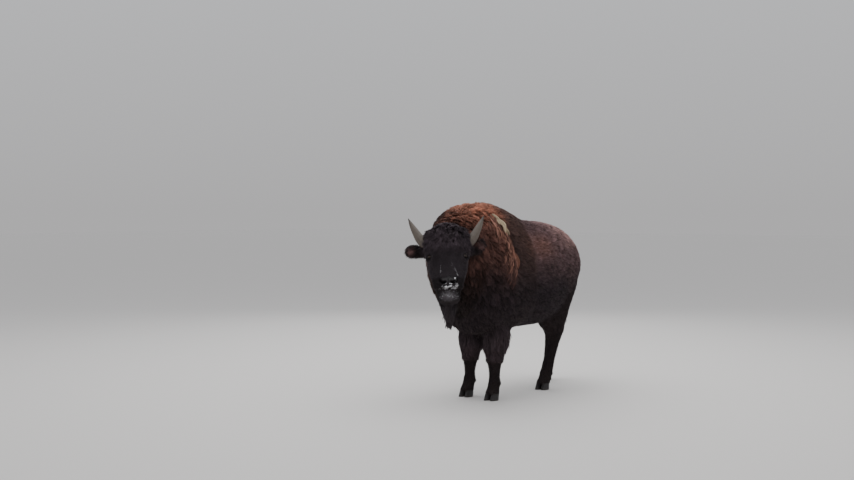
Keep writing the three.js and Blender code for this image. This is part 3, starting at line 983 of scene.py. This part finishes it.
def makeEye(name, side, material):
    axis, forward, upward = lidFrame(side)
    ball = bmesh.new()
    segments = eyeLook["segments"]
    bmesh.ops.create_uvsphere(ball, u_segments=segments, v_segments=segments, radius=head["eyeRadius"])
    points, faces = takenFrom(ball)
    wide = np.hypot(points[:, 0], points[:, 1])
    front = points[:, 2] > 0
    ringed = fade(wide, *eyeLook["ring"])
    points[:, 2] += eyeLook["bulge"] * (front * (1 - ringed))
    iris = fade(eyeLook["iris"] - wide, 0, eyeLook["irisEdge"]) * front
    pupil = (points[:, 0] / eyeLook["pupilWide"]) ** 2 + (points[:, 1] / eyeLook["pupilTall"]) ** 2
    pupil = (1 - fade(pupil, *eyeLook["pupilEdge"])) * front
    white, outer, inner, black = (
        np.array(linear(eyeLook[part])) for part in ("white", "irisOuter", "irisInner", "pupil")
    )
    colour = white + (inner + (outer - inner) * ringed[:, None] - white) * iris[:, None]
    colour = colour + (black - colour) * pupil[:, None]
    basis = np.stack([forward, upward, axis])
    local = points @ basis + np.array(head["eye"]) * (1, side, 1)
    mesh = meshOf(name, fromHead(local), faces)
    setColours(mesh, "pelage", colour)
    eye = pieceOf(name, mesh, material)
    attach(eye, "root")
    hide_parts(name.replace("_ball", ""))


wetEye = eyeMaterial()
makeEye("eye_left_ball", -1, wetEye)
makeEye("eye_right_ball", 1, wetEye)
print("eyes made")


# Horns: smooth cones on the same line as the solids, ringed and scaly at the root, polished at the tip

hornForm = {
    "line": ((0.022, 0.085, -0.030), (0.010, 0.120, -0.025), (0.005, 0.165, -0.018), (0.0, 0.202, 0.014),
             (-0.004, 0.238, 0.074), (-0.006, 0.268, 0.132), (-0.006, 0.292, 0.186)),
    "radii": (0.040, 0.0435, 0.0425, 0.0375, 0.0285, 0.0178, 0.0028), "tipLength": 0.003,
    "around": 40, "along": 110, "rings": 13, "ringHeight": 0.034, "fluteCount": 7, "flutes": 0.016,
    "root": "#3f3834", "middle": "#5a5149", "tip": "#2c2724",
    "rootEnd": (0.15, 0.5), "tipStart": (0.78, 1.0), "tipShare": 0.8, "grooveDarkening": 0.28,
}


def smoothCurve(values, share):  # through the given values, evenly spaced, with eased slopes
    values = np.array(values, float)
    at = share * (len(values) - 1)
    low = np.clip(np.floor(at).astype(int), 0, len(values) - 2)
    t = (at - low).reshape(-1, *[1] * (values.ndim - 1))
    before, after = np.maximum(low - 1, 0), np.minimum(low + 2, len(values) - 1)
    p0, p1, p2, p3 = values[before], values[low], values[low + 1], values[after]
    return 0.5 * (2 * p1 + (p2 - p0) * t + (2 * p0 - 5 * p1 + 4 * p2 - p3) * t ** 2
                  + (3 * p1 - p0 - 3 * p2 + p3) * t ** 3)


def hornMaterial():
    # Horn, grown keratin: matt grey-brown fibre, polished in streaks, darker in the grooves between the
    # rings
    tree, surface, material = newMaterial(
        "horn_keratin_grown", {"Roughness": 0.55, "IOR": 1.54, "Specular IOR Level": 0.4},
    )
    run = addNode(tree, "ShaderNodeUVMap", uv_map="run")
    # Keratin fibres are 0.2 mm, drawn at about 2 mm so that they show
    comb = addNode(tree, "ShaderNodeMapping", {"Vector": run.outputs["UV"], "Scale": (60, 5, 1)})
    fibres = addNode(tree, "ShaderNodeTexNoise", {"Vector": comb.outputs[0], "Scale": 1.0, "Detail": 5.0})
    addNode(
        tree, "ShaderNodeMapRange", {"Value": fibres.outputs["Fac"], "To Min": 0.42, "To Max": 0.72},
        to=surface.inputs["Roughness"],
    )
    fibreFinish(tree, surface, fibres, (0.62, 1.38), (0.5, 0.0012))
    return material


def makeHorn(name, side, material):
    around, along = hornForm["around"], hornForm["along"]
    share = np.linspace(0, 1, along) ** 0.95
    middle = smoothCurve([(x, side * y, z) for x, y, z in hornForm["line"]], share)
    radius = smoothCurve(hornForm["radii"], share)
    heading = unit(np.gradient(middle, axis=0))
    first = unit(np.cross(heading, (1, 0, 0)))
    second = np.cross(heading, first)
    angle = np.linspace(0, 2 * math.pi, around, endpoint=False)
    ring, turn = np.meshgrid(share, angle, indexing="ij")
    young = (1 - ring) ** 1.6
    wave = 0.5 + 0.5 * np.cos(2 * math.pi * hornForm["rings"] * ring ** 0.8 + 0.6 * np.sin(2 * turn + side))
    swell = 1 + hornForm["ringHeight"] * young * (wave - 0.5) * 2
    swell += hornForm["flutes"] * young * np.sin(hornForm["fluteCount"] * turn + 3 * ring)
    size = radius[:, None] * swell
    points = (middle[:, None] + first[:, None] * (size * np.cos(turn))[:, :, None]
              + second[:, None] * (size * np.sin(turn))[:, :, None]).reshape(-1, 3)
    points = np.concatenate([points, middle[[0, -1]] + heading[[0, -1]] * [[0.0], [hornForm["tipLength"]]]])
    faces = [(r * around + i, r * around + (i + 1) % around, (r + 1) * around + (i + 1) % around,
              (r + 1) * around + i) for r in range(along - 1) for i in range(around)]
    last, root, tip = (along - 1) * around, along * around, along * around + 1
    faces += [((i + 1) % around, i, root) for i in range(around)]
    faces += [(last + i, last + (i + 1) % around, tip) for i in range(around)]
    mesh = meshOf(name, fromHead(points), faces)
    if mesh.polygons[0].normal.dot(mesh.polygons[0].center - Vector(fromHead(middle[0]))) < 0:
        mesh.flip_normals()
    rootTone, middleTone, tipTone = (np.array(linear(hornForm[part])) for part in ("root", "middle", "tip"))
    reach = ring.reshape(-1, 1)
    colour = rootTone + (middleTone - rootTone) * fade(reach, *hornForm["rootEnd"])
    colour = colour + (tipTone - colour) * hornForm["tipShare"] * fade(reach, *hornForm["tipStart"])
    # Darker in the grooves between the rings, most towards the root
    colour = colour * (1 - hornForm["grooveDarkening"] * (young * (1 - wave)).reshape(-1, 1))
    setColours(mesh, "pelage", np.concatenate([colour, colour[[0, -1]]]))
    run = np.concatenate([np.stack([turn / (2 * math.pi), ring], 2).reshape(-1, 2), [[0, 0], [0, 1]]])
    setPlaces(mesh, "run", run[loopPointsOf(mesh)])
    piece = pieceOf(name, mesh, material)
    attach(piece, "root")
    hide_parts(name.replace("_sheath", ""))


keratin = hornMaterial()
makeHorn("horn_left_sheath", -1, keratin)
makeHorn("horn_right_sheath", 1, keratin)
print("horns made")


# Hooves and dewclaws: the solids rounded over, with growth rings level with the coronet

hoofLook = {
    "voxel": 0.0035, "smoothing": 4, "ring": 0.006, "wornHeight": 0.022, "colours": ("#1a1615", "#3b342f"),
}


def hoofMaterial():
    # Hoof, grown keratin walked smooth: black, faintly ringed, chalky where it is worn at the edge
    tree, surface, material = newMaterial(
        "hoof_keratin_worn", {"Roughness": 0.5, "IOR": 1.54, "Specular IOR Level": 0.4},
    )
    place = addNode(tree, "ShaderNodeTexCoord").outputs["Object"]
    rings = addNode(                        # a wave's length is 0.31416 over its scale
        tree, "ShaderNodeTexWave", {"Vector": place, "Scale": 0.31416 / hoofLook["ring"], "Distortion": 1.5},
        bands_direction="Z",
    )
    split = addNode(tree, "ShaderNodeSeparateXYZ", {"Vector": place})
    low = addNode(tree, "ShaderNodeMapRange", {
        "Value": split.outputs["Z"], "From Min": 0.0, "From Max": hoofLook["wornHeight"],
        "To Min": 1.0, "To Max": 0.0,
    })
    grime = addNode(tree, "ShaderNodeTexNoise", {"Vector": place, "Scale": 140.0, "Detail": 5.0})
    amount = addNode(
        tree, "ShaderNodeMath", {0: low.outputs["Result"], 1: grime.outputs["Fac"]}, operation="MULTIPLY",
    )
    stainFinish(tree, surface, amount.outputs[0], hoofLook["colours"], rings.outputs["Fac"], (0.5, 0.0015))
    return material


def makeHooves(end, material):
    nodes = [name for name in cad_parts
             if name.startswith(end) and ("hoof" in name or "dewclaw" in name)]
    points, faces = np.empty((0, 3)), []
    for name in nodes:
        solid, sides, _ = joinedNodes([name])
        mesh = remeshed(name + "_round", solid, sides, hoofLook["voxel"])
        rounded = relaxed(pointsOf(mesh), edgesOf(mesh), hoofLook["smoothing"])
        rounded[:, 2] = np.maximum(rounded[:, 2], solid[:, 2].min())
        faces += shifted([p.vertices for p in mesh.polygons], len(points))
        points = np.concatenate([points, rounded])
        bpy.data.meshes.remove(mesh)
    piece = pieceOf(f"{end}_hooves", meshOf(f"{end}_hooves", points, faces), material)
    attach(piece, "root")
    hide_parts(*nodes)


hoofKeratin = hoofMaterial()
makeHooves("fore", hoofKeratin)
makeHooves("hind", hoofKeratin)
print("hooves made")


# The coat: closed tapered locks, each a flattened prism of a few rings and a tip


plainLook = {                              # what a lock is like where its coat's own look says nothing else
    "rings": 2, "rise": 1.7, "swing": 0.18, "sink": 0.003, "waves": 1.0, "hang": 0.3,
    "clump": 0, "gather": 0.6, "thick": 0.42, "contrast": 0.16,
}
lockForm = {                               # what all locks share: how far they vary, and their shading
    "tries": 5, "lengths": (0.7, 1.2), "widths": (0.75, 1.25), "rises": (0.6, 1.25), "mostRise": 0.85,
    "patch": 0.003, "tones": 0.8, "rootLight": 0.55, "tipLight": 0.62, "lightRange": (0.3, 1.8),
}


def triangleTable(mesh):
    mesh.calc_loop_triangles()
    corners, loops = (arrayOf(mesh.loop_triangles, part, 3, np.int32) for part in ("vertices", "loops"))
    uv = arrayOf(mesh.uv_layers["OFBake"].data, "uv", 2, np.float32)
    a, b, c = (fields["place"][corners[:, k]] for k in range(3))
    area = np.linalg.norm(np.cross(b - a, c - a), axis=1) / 2
    return corners, uv[loops], area


corners, cornerUv, triangleArea = triangleTable(skinMesh)


def scatter(mask, spacing, seed):  # about one root in each cell of this size, where the mask holds
    rng = np.random.default_rng(seed)
    share = triangleArea * mask[corners].mean(1)
    count = int(share.sum() / spacing ** 2 * lockForm["tries"])  # of which each cell keeps one
    chosen = rng.choice(len(share), count, p=share / share.sum())
    a, b = rng.random((2, count))
    flip = a + b > 1
    a[flip], b[flip] = 1 - a[flip], 1 - b[flip]
    mix = np.column_stack([1 - a - b, a, b])
    at = (fields["place"][corners[chosen]] * mix[:, :, None]).sum(1)
    cells = np.floor(at / spacing + rng.random(3)).astype(np.int64)
    _, kept = np.unique(cells, axis=0, return_index=True)
    chosen, mix = chosen[kept], mix[kept]
    roots = {name: (field[corners[chosen]] * mix[:, :, None]).sum(1) for name, field in fields.items()}
    roots["uv"] = (cornerUv[chosen] * mix[:, :, None]).sum(1)
    return roots


def lockLines(roots, look, rng):  # the middle line of each lock, from root to tip
    count, steps = len(roots["place"]), look["rings"]
    depth, length, width, curl = roots["size"].T
    normal, lie = unit(roots["normal"]), unit(roots["lie"])
    across = np.cross(normal, lie)
    length = length * rng.uniform(*lockForm["lengths"], count)
    rise = np.clip(depth / length * look["rise"], 0, lockForm["mostRise"])
    rise = rise * rng.uniform(*lockForm["rises"], count)
    swing = rng.normal(0, look["swing"], count)
    phase = rng.uniform(0, 2 * math.pi, count)
    down = np.array((0, 0, -1.0))
    at = roots["place"] - normal * look["sink"]
    lines = [at]
    for step in range(steps):
        s = step / steps
        turn = phase + s * 2 * math.pi * look["waves"]
        heading = lie + across * (swing + curl * np.cos(turn))[:, None]
        heading = heading + normal * (rise * (1.7 - 1.9 * s) + 0.5 * curl * np.sin(turn))[:, None]
        heading = unit(heading + down * look["hang"] * s)
        at = at + heading * (length / steps)[:, None]
        lines.append(at)
    return np.stack(lines, 1), width * rng.uniform(*lockForm["widths"], count)


def gathered(lines, look, rng):  # draws neighbours to one tip, as a matted coat clumps
    if not look["clump"]:
        return lines, np.zeros(len(lines))
    cells = np.floor(lines[:, 0] / look["clump"]).astype(np.int64)
    leaders = rng.choice(len(lines), len(np.unique(cells, axis=0)), replace=False)
    finder = treeOf(lines[leaders, 0])
    nearest = np.array([finder.find(root)[1] for root in lines[:, 0]])
    pull = look["gather"] * np.linspace(0, 1, lines.shape[1])[None, :, None] ** 1.4
    lines = lines + (lines[leaders[nearest]] - lines) * pull
    return lines, rng.normal(0, 1, len(leaders))[nearest]


def lockFaces(rings):  # one lock's quads, its three faces at the tip and the one at the root
    quads = [(3 * r + c, 3 * r + (c + 1) % 3, 3 * r + 3 + (c + 1) % 3, 3 * r + 3 + c)
             for r in range(rings - 1) for c in range(3)]
    last = 3 * (rings - 1)
    return quads + [(last + c, last + (c + 1) % 3, 3 * rings) for c in range(3)] + [(2, 1, 0)]


def lockMesh(name, lines, width, roots, tone, look):
    count, rings = len(lines), lines.shape[1] - 1
    normal = unit(roots["normal"])
    headings = unit(np.gradient(lines, axis=1))
    points, shades, patch = [], [], []
    size = lockForm["patch"]               # how much of the unwrap each lock takes
    for ring, s in enumerate(np.linspace(0, 1, rings + 1)[:-1]):
        side = unit(np.cross(headings[:, ring], normal))
        up = np.cross(side, headings[:, ring])
        spread = (width * (0.75 + 0.9 * s - 1.45 * s ** 2))[:, None]
        for corner, (wide, high) in enumerate(((-0.5, 0), (0, look["thick"]), (0.5, 0))):
            points.append(lines[:, ring] + side * spread * wide + up * spread * high)
            shades.append(np.full(count, s))
            patch.append(roots["uv"] + size * np.array((corner / 2 - 0.5, s - 0.5)))
    points.append(lines[:, rings])
    shades.append(np.ones(count))
    patch.append(roots["uv"] + size * np.array((0, 0.5)))
    points, shades, patch = (np.stack(part, 1) for part in (points, shades, patch))
    faces = lockFaces(rings)
    starts = np.arange(count)[:, None] * (3 * rings + 1)
    loops = (np.array([v for face in faces for v in face]) + starts).ravel().astype(np.int32)
    totals = np.tile([len(face) for face in faces], count)
    mesh = bpy.data.meshes.new(name)
    mesh.vertices.add(points.shape[0] * points.shape[1])
    mesh.vertices.foreach_set("co", points.reshape(-1).astype(np.float32))
    mesh.loops.add(len(loops))
    mesh.loops.foreach_set("vertex_index", loops)
    mesh.polygons.add(len(totals))
    mesh.polygons.foreach_set("loop_start", (np.cumsum(totals) - totals).astype(np.int32))
    mesh.update(calc_edges=True)
    # Darker at the root and lighter towards the tip: painted shade where the locks cover one another, and
    # the hair's own lighter tips. Each lock in a tone of its own
    light = lockForm["rootLight"] + lockForm["tipLight"] * shades ** 0.8
    light = np.clip(light * (1 + look["contrast"] * tone)[:, None], *lockForm["lightRange"])
    colours = roots["pelage"][:, None, :] * light[:, :, None]
    setColours(mesh, "pelage", colours.reshape(-1, 3))
    setPlaces(mesh, "OFBake", patch.reshape(-1, 2)[loops])
    own = np.stack([(patch - roots["uv"][:, None])[:, :, 0] / size + 0.5, shades], 2)
    own[:, :, 0] += np.arange(count)[:, None] % 997
    setPlaces(mesh, "strand", own.reshape(-1, 2)[loops])
    return mesh


def coatMaterial():
    # Guard hair, grown and matted: dull dry fibre, with a faint warm sheen where light grazes it
    tree, surface, material = newMaterial("bison_guard_hair_matted", {
        "Roughness": 0.72, "IOR": 1.55, "Specular IOR Level": 0.16,
        "Sheen Weight": 0.06, "Sheen Roughness": 0.5, "Sheen Tint": (*linear("#b08a78"), 1),
    })
    strand = addNode(tree, "ShaderNodeUVMap", uv_map="strand")
    # Hairs are 0.05 mm thick, drawn as four or five to a lock so that they show
    comb = addNode(tree, "ShaderNodeMapping", {"Vector": strand.outputs["UV"], "Scale": (4.5, 0.8, 1)})
    hairs = addNode(tree, "ShaderNodeTexNoise", {"Vector": comb.outputs[0], "Scale": 1.0, "Detail": 3.0})
    fibreFinish(tree, surface, hairs, (0.5, 1.5), (0.5, 0.002))
    return material


def weightOf(*names):
    return sum(fields["weights"][:, regionNames.index(name)] for name in names)


def growCoat(name, mask, look, material):
    look = {**plainLook, **look}
    rng = np.random.default_rng(look["seed"])
    roots = scatter(mask, look["spacing"], look["seed"])
    lines, width = lockLines(roots, look, rng)
    lines, tone = gathered(lines, look, rng)
    tone = tone + rng.normal(0, lockForm["tones"], len(lines))
    piece = pieceOf(name, lockMesh(name, lines, width, roots, tone, look), material)
    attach(piece, "root")
    print(name, len(lines), "locks,", len(lines) * (6 * look["rings"] - 2), "triangles")


wool = coatMaterial()
places = fields["place"]
leftSide = (places[:, 1] < 0) * 1.0
rightSide = 1 - leftSide


bare = {"lids": 0.026, "lips": 0.006, "pad": 0.35}


def bareSkin():  # 1 on the lids, the lips and the nose pad, which carry no hair
    local = inHead(places)
    lids = nearEye(local) < bare["lids"]
    lips = np.abs(mouthDistance(folded(local))) < bare["lips"]
    lips = lips & (local[:, 0] < 0) & (headZone(places) < 1)
    return (lids | lips | (padMask(local) > bare["pad"])) * 1.0


capeLook = {
    "spacing": 0.0088, "rings": 4, "clump": 0.055, "gather": 0.62, "waves": 1.2, "hang": 0.35,
    "contrast": 0.30, "rise": 2.4,
}
flankLook = {"spacing": 0.0096, "clump": 0.034, "gather": 0.38, "hang": 0.2, "contrast": 0.24}
coats = {
    "coat_cape_left": ("cape_coat", weightOf("cape") * leftSide, {"seed": 11, **capeLook}),
    "coat_cape_right": ("cape_coat", weightOf("cape") * rightSide, {"seed": 12, **capeLook}),
    "coat_neck": ("cape_coat", weightOf("neck"), {"seed": 13, **capeLook, "spacing": 0.0105, "rings": 3}),
    "coat_shoulders": ("body_coat", weightOf("shoulders"), {
        "seed": 24, "spacing": 0.0105, "clump": 0.04, "gather": 0.5, "hang": 0.35,
    }),
    "coat_crown": ("dark_coat", weightOf("crown"), {
        "seed": 14, "spacing": 0.0072, "rings": 4, "clump": 0.030, "gather": 0.55, "waves": 1.4, "hang": 0.4,
        "rise": 2.5, "swing": 0.35, "contrast": 0.22,
    }),
    "coat_beard": ("dark_coat", weightOf("beard"), {
        "seed": 15, "spacing": 0.0062, "rings": 5, "clump": 0.030, "gather": 0.65, "hang": 0.9, "swing": 0.3,
        "waves": 1.6,
    }),
    "coat_face": ("dark_coat", weightOf("face") * (1 - bareSkin()), {
        "seed": 16, "spacing": 0.0047, "sink": 0.001, "swing": 0.14, "hang": 0.1,
    }),
    "coat_ears": ("dark_coat", weightOf("ears"), {
        "seed": 17, "spacing": 0.0060, "rings": 3, "sink": 0.001, "swing": 0.25, "hang": 0.7, "rise": 3.0,
    }),
    "coat_flank_left": ("body_coat", weightOf("barrel", "rump") * leftSide, {"seed": 18, **flankLook}),
    "coat_flank_right": ("body_coat", weightOf("barrel", "rump") * rightSide, {"seed": 19, **flankLook}),
    "coat_tail": ("body_coat", weightOf("tail"), {
        "seed": 20, "spacing": 0.0080, "rings": 3, "clump": 0.02, "gather": 0.4, "hang": 0.6,
    }),
    "coat_thighs": ("dark_coat", weightOf("thighs"), {
        "seed": 21, "spacing": 0.0095, "clump": 0.03, "gather": 0.3,
    }),
    "coat_legs": ("dark_coat", weightOf("foreLegs", "hindLegs", "feet"), {
        "seed": 22, "spacing": 0.0066, "sink": 0.001, "hang": 0.2,
    }),
    "coat_chaps": ("dark_coat", weightOf("armLegs", "chaps"), {
        "seed": 23, "spacing": 0.0092, "rings": 4, "clump": 0.035, "gather": 0.5, "hang": 0.7,
    }),
}
for name, (slot, mask, look) in coats.items():
    growCoat(name, mask, look, wool)


# The cape's rear edge: long twisted hanks of last year's wool hanging over the flank

hanks = {
    "edge": ((-0.390, 1.52), (-0.330, 1.40), (-0.300, 1.27), (-0.290, 1.17), (-0.300, 1.09)),
    "count": 112, "strands": 11, "rings": 8, "spread": 0.034, "length": (0.09, 0.19),
    "width": (0.022, 0.042), "turns": (0.3, 0.9), "wave": 0.012, "stand": 0.062, "drift": (0.05, 0.16),
    "strandWidth": (0.18, 0.34), "strandReach": (0.35, 1.1), "strandLength": (0.8, 1.12),
    "hankTones": (0.7, 1.15), "strandTones": (0.75, 1.2), "flat": 0.6,
    "colours": ("#8a6152", "#5e4239", "#a07364"), "dark": "#33272a", "darkening": (1.02, 1.26),
    "straw": {"at": ((-0.345, 1.505), (-0.335, 1.490), (-0.328, 1.470), (-0.338, 1.475), (-0.320, 1.455)),
              "length": 0.115, "width": 0.030, "proud": 0.014, "colour": "#cbb89b"},
    "seed": 31,
}
hankLook = {"contrast": 0.25, "thick": 0.7}


def skinSurface():
    faces = [tuple(p.vertices) for p in skinMesh.polygons]
    return BVHTree.FromPolygons([Vector(p) for p in fields["place"]], faces)


def skinPatches():  # where each skin point is on the unwrap
    patches = np.zeros((len(skinMesh.vertices), 2))
    patches[loopPointsOf(skinMesh)] = arrayOf(skinMesh.uv_layers["OFBake"].data, "uv", 2, np.float32)
    return patches


def hankPath(surface, x, z, side, length, rng):  # down over the flank, swaying and standing off it
    line = []
    drift, sway = rng.normal(*hanks["drift"]), rng.uniform(0, 2 * math.pi)
    for s in np.linspace(0, 1, hanks["rings"] + 1):
        aside = x + drift * length * s + hanks["wave"] * math.sin(sway + 6 * s)
        at, normal = surface.ray_cast(Vector((aside, side * 1.2, z - length * s)), Vector((0, -side, 0)))[:2]
        line.append(np.array(at) + np.array(normal) * hanks["stand"] * (1.4 * s - 1.3 * s * s))
    return np.array(line)


def strandsOf(line, width, rng):  # the strands of one hank, wound round its middle line
    count, s = hanks["strands"], np.linspace(0, 1, len(line))[:, None]
    heading = unit(np.gradient(line, axis=0))
    first = unit(np.cross(heading, (1, 0, 0.2)))
    second = np.cross(heading, first)
    turns, reach = rng.uniform(*hanks["turns"]), 0.5 * width * (0.5 + 1.3 * s - 1.5 * s * s)
    strands = []
    for number in range(count):
        angle = 2 * math.pi * (number / count + turns * s) + rng.normal(0, 0.3)
        radius = reach * rng.uniform(*hanks["strandReach"])
        strand = line + radius * (first * np.cos(angle) + hanks["flat"] * second * np.sin(angle))
        strands.append(strand[0] + (strand - strand[0]) * rng.uniform(*hanks["strandLength"]))
    return strands


def makeHanks(name, side, withStraw):
    rng = np.random.default_rng(hanks["seed"] + side)
    surface, patches, finder = skinSurface(), skinPatches(), treeOf(fields["place"])
    shades = [np.array(linear(code)) for code in hanks["colours"]]
    dark = np.array(linear(hanks["dark"]))
    bundles = []
    for number in range(hanks["count"]):
        s = (number + rng.random()) / hanks["count"] * (len(hanks["edge"]) - 1)
        x, z = (np.interp(s, range(len(hanks["edge"])), part) for part in zip(*hanks["edge"]))
        x -= abs(rng.normal(0, hanks["spread"])) - 0.5 * hanks["spread"]
        colour = shades[rng.integers(len(shades))] * rng.uniform(*hanks["hankTones"])
        colour = dark + (colour - dark) * fade(z, *hanks["darkening"])
        line = hankPath(surface, x, z, side, rng.uniform(*hanks["length"]), rng)
        bundles.append((line, rng.uniform(*hanks["width"]), colour))
    if withStraw:
        straw = hanks["straw"]
        for x, z in straw["at"]:
            line = hankPath(surface, x, z, side, straw["length"] * rng.uniform(0.6, 1.1), rng)
            line[:, 1] += side * straw["proud"]
            bundles.append((line, straw["width"], np.array(linear(straw["colour"]))))
    lines, widths, colours = [], [], []
    for line, width, colour in bundles:
        for strand in strandsOf(line, width, rng):
            lines.append(strand)
            widths.append(width * rng.uniform(*hanks["strandWidth"]))
            colours.append(colour * rng.uniform(*hanks["strandTones"]))
    nearest = [finder.find(line[0])[1] for line in lines]
    roots = {"normal": fields["normal"][nearest], "uv": patches[nearest], "pelage": np.array(colours)}
    tone = rng.normal(0, 0.6, len(lines))
    piece = pieceOf(name, lockMesh(name, np.array(lines), np.array(widths), roots, tone, hankLook), wool)
    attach(piece, "root")


makeHanks("coat_hanks_left", -1, True)
makeHanks("coat_hanks_right", 1, False)
print("cape edge made")


# Frost: crumbs of snow caught on the lips, the nostrils' edge, the bridge of the nose and the chin

frost = {
    "patches": (                            # middle, half sizes in the head's frame, how many, crumb size
        ((-0.12, -0.042, -0.405), (0.03, 0.024, 0.010), 60, 0.0044),
        ((-0.12, 0.022, -0.407), (0.03, 0.024, 0.008), 46, 0.0042),
        ((-0.12, -0.010, -0.404), (0.03, 0.090, 0.020), 40, 0.0024),
        ((-0.12, -0.066, -0.386), (0.03, 0.008, 0.010), 12, 0.0036),
        ((-0.12, -0.056, -0.337), (0.03, 0.007, 0.011), 26, 0.0046),
        ((-0.11, -0.055, -0.262), (0.03, 0.009, 0.016), 14, 0.0030),
        ((-0.11, -0.069, -0.292), (0.03, 0.009, 0.018), 16, 0.0034),
        ((-0.11, -0.030, -0.225), (0.03, 0.006, 0.032), 10, 0.0020),
        ((-0.11, 0.053, -0.272), (0.03, 0.012, 0.040), 20, 0.0022),
        ((-0.11, -0.018, -0.378), (0.03, 0.035, 0.005), 12, 0.0026),
        ((-0.10, -0.010, -0.462), (0.04, 0.090, 0.036), 120, 0.0026),
    ),
    "seed": 41, "back": -0.03, "sunk": 0.3, "lumps": 0.55, "lumpSize": 0.6, "flat": (0.45, 0.8),
    "white": "#f4f3f4", "shade": "#cfced3",
}


def frostMaterial():
    # Snow, blown and frozen: bright soft grains with a little light passing through
    tree, surface, material = newMaterial("snow_crumbs_frozen", {
        "Roughness": 0.6, "IOR": 1.31,
        "Subsurface Weight": 0.3, "Subsurface Scale": 0.003, "Subsurface Radius": (1, 1, 1),
    })
    place = addNode(tree, "ShaderNodeTexCoord").outputs["Object"]
    # Grains are 0.5 mm, drawn at 1.5 mm so that they show
    grains = addNode(
        tree, "ShaderNodeTexNoise", {"Vector": place, "Scale": 650.0, "Detail": 2.0},
    ).outputs["Fac"]
    stainFinish(tree, surface, grains, (frost["shade"], frost["white"]), grains, (0.5, 0.001))
    return material


def makeFrost():
    rng = np.random.default_rng(frost["seed"])
    surface = skinSurface()
    toward = Vector(fromHead((-1, 0, 0)) - headPlace)
    points, faces = [], []
    for middle, half, count, size in frost["patches"]:
        for _ in range(count):
            start = fromHead(np.array(middle) + np.array(half) * rng.normal(0, 0.5, 3))
            hit, normal = surface.ray_cast(Vector(start) + toward * 0.3, -toward)[:2]
            if hit is None or inHead(np.array(hit))[0] > frost["back"]:
                continue
            radius = size * rng.uniform(0.5, 1.3)
            ballPoints, ballFaces = ballAt((0, 0, 0), 1.0, 2)
            lumps = 1 + frost["lumps"] * ripple(ballPoints, frost["lumpSize"], rng.integers(1, 90))[:, None]
            ballPoints = ballPoints * lumps * radius * rng.uniform(0.7, 1.3, 3)
            out = np.array(normal)
            ballPoints -= np.outer(ballPoints @ out, out) * rng.uniform(*frost["flat"])
            centre = np.array(hit) + out * radius * (1 - 2 * frost["sunk"])
            faces += shifted(ballFaces, len(points))
            points += list(ballPoints + centre)
    piece = pieceOf("frost", meshOf("frost", points, faces), frostMaterial())
    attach(piece, "root")


makeFrost()
print("frost made")
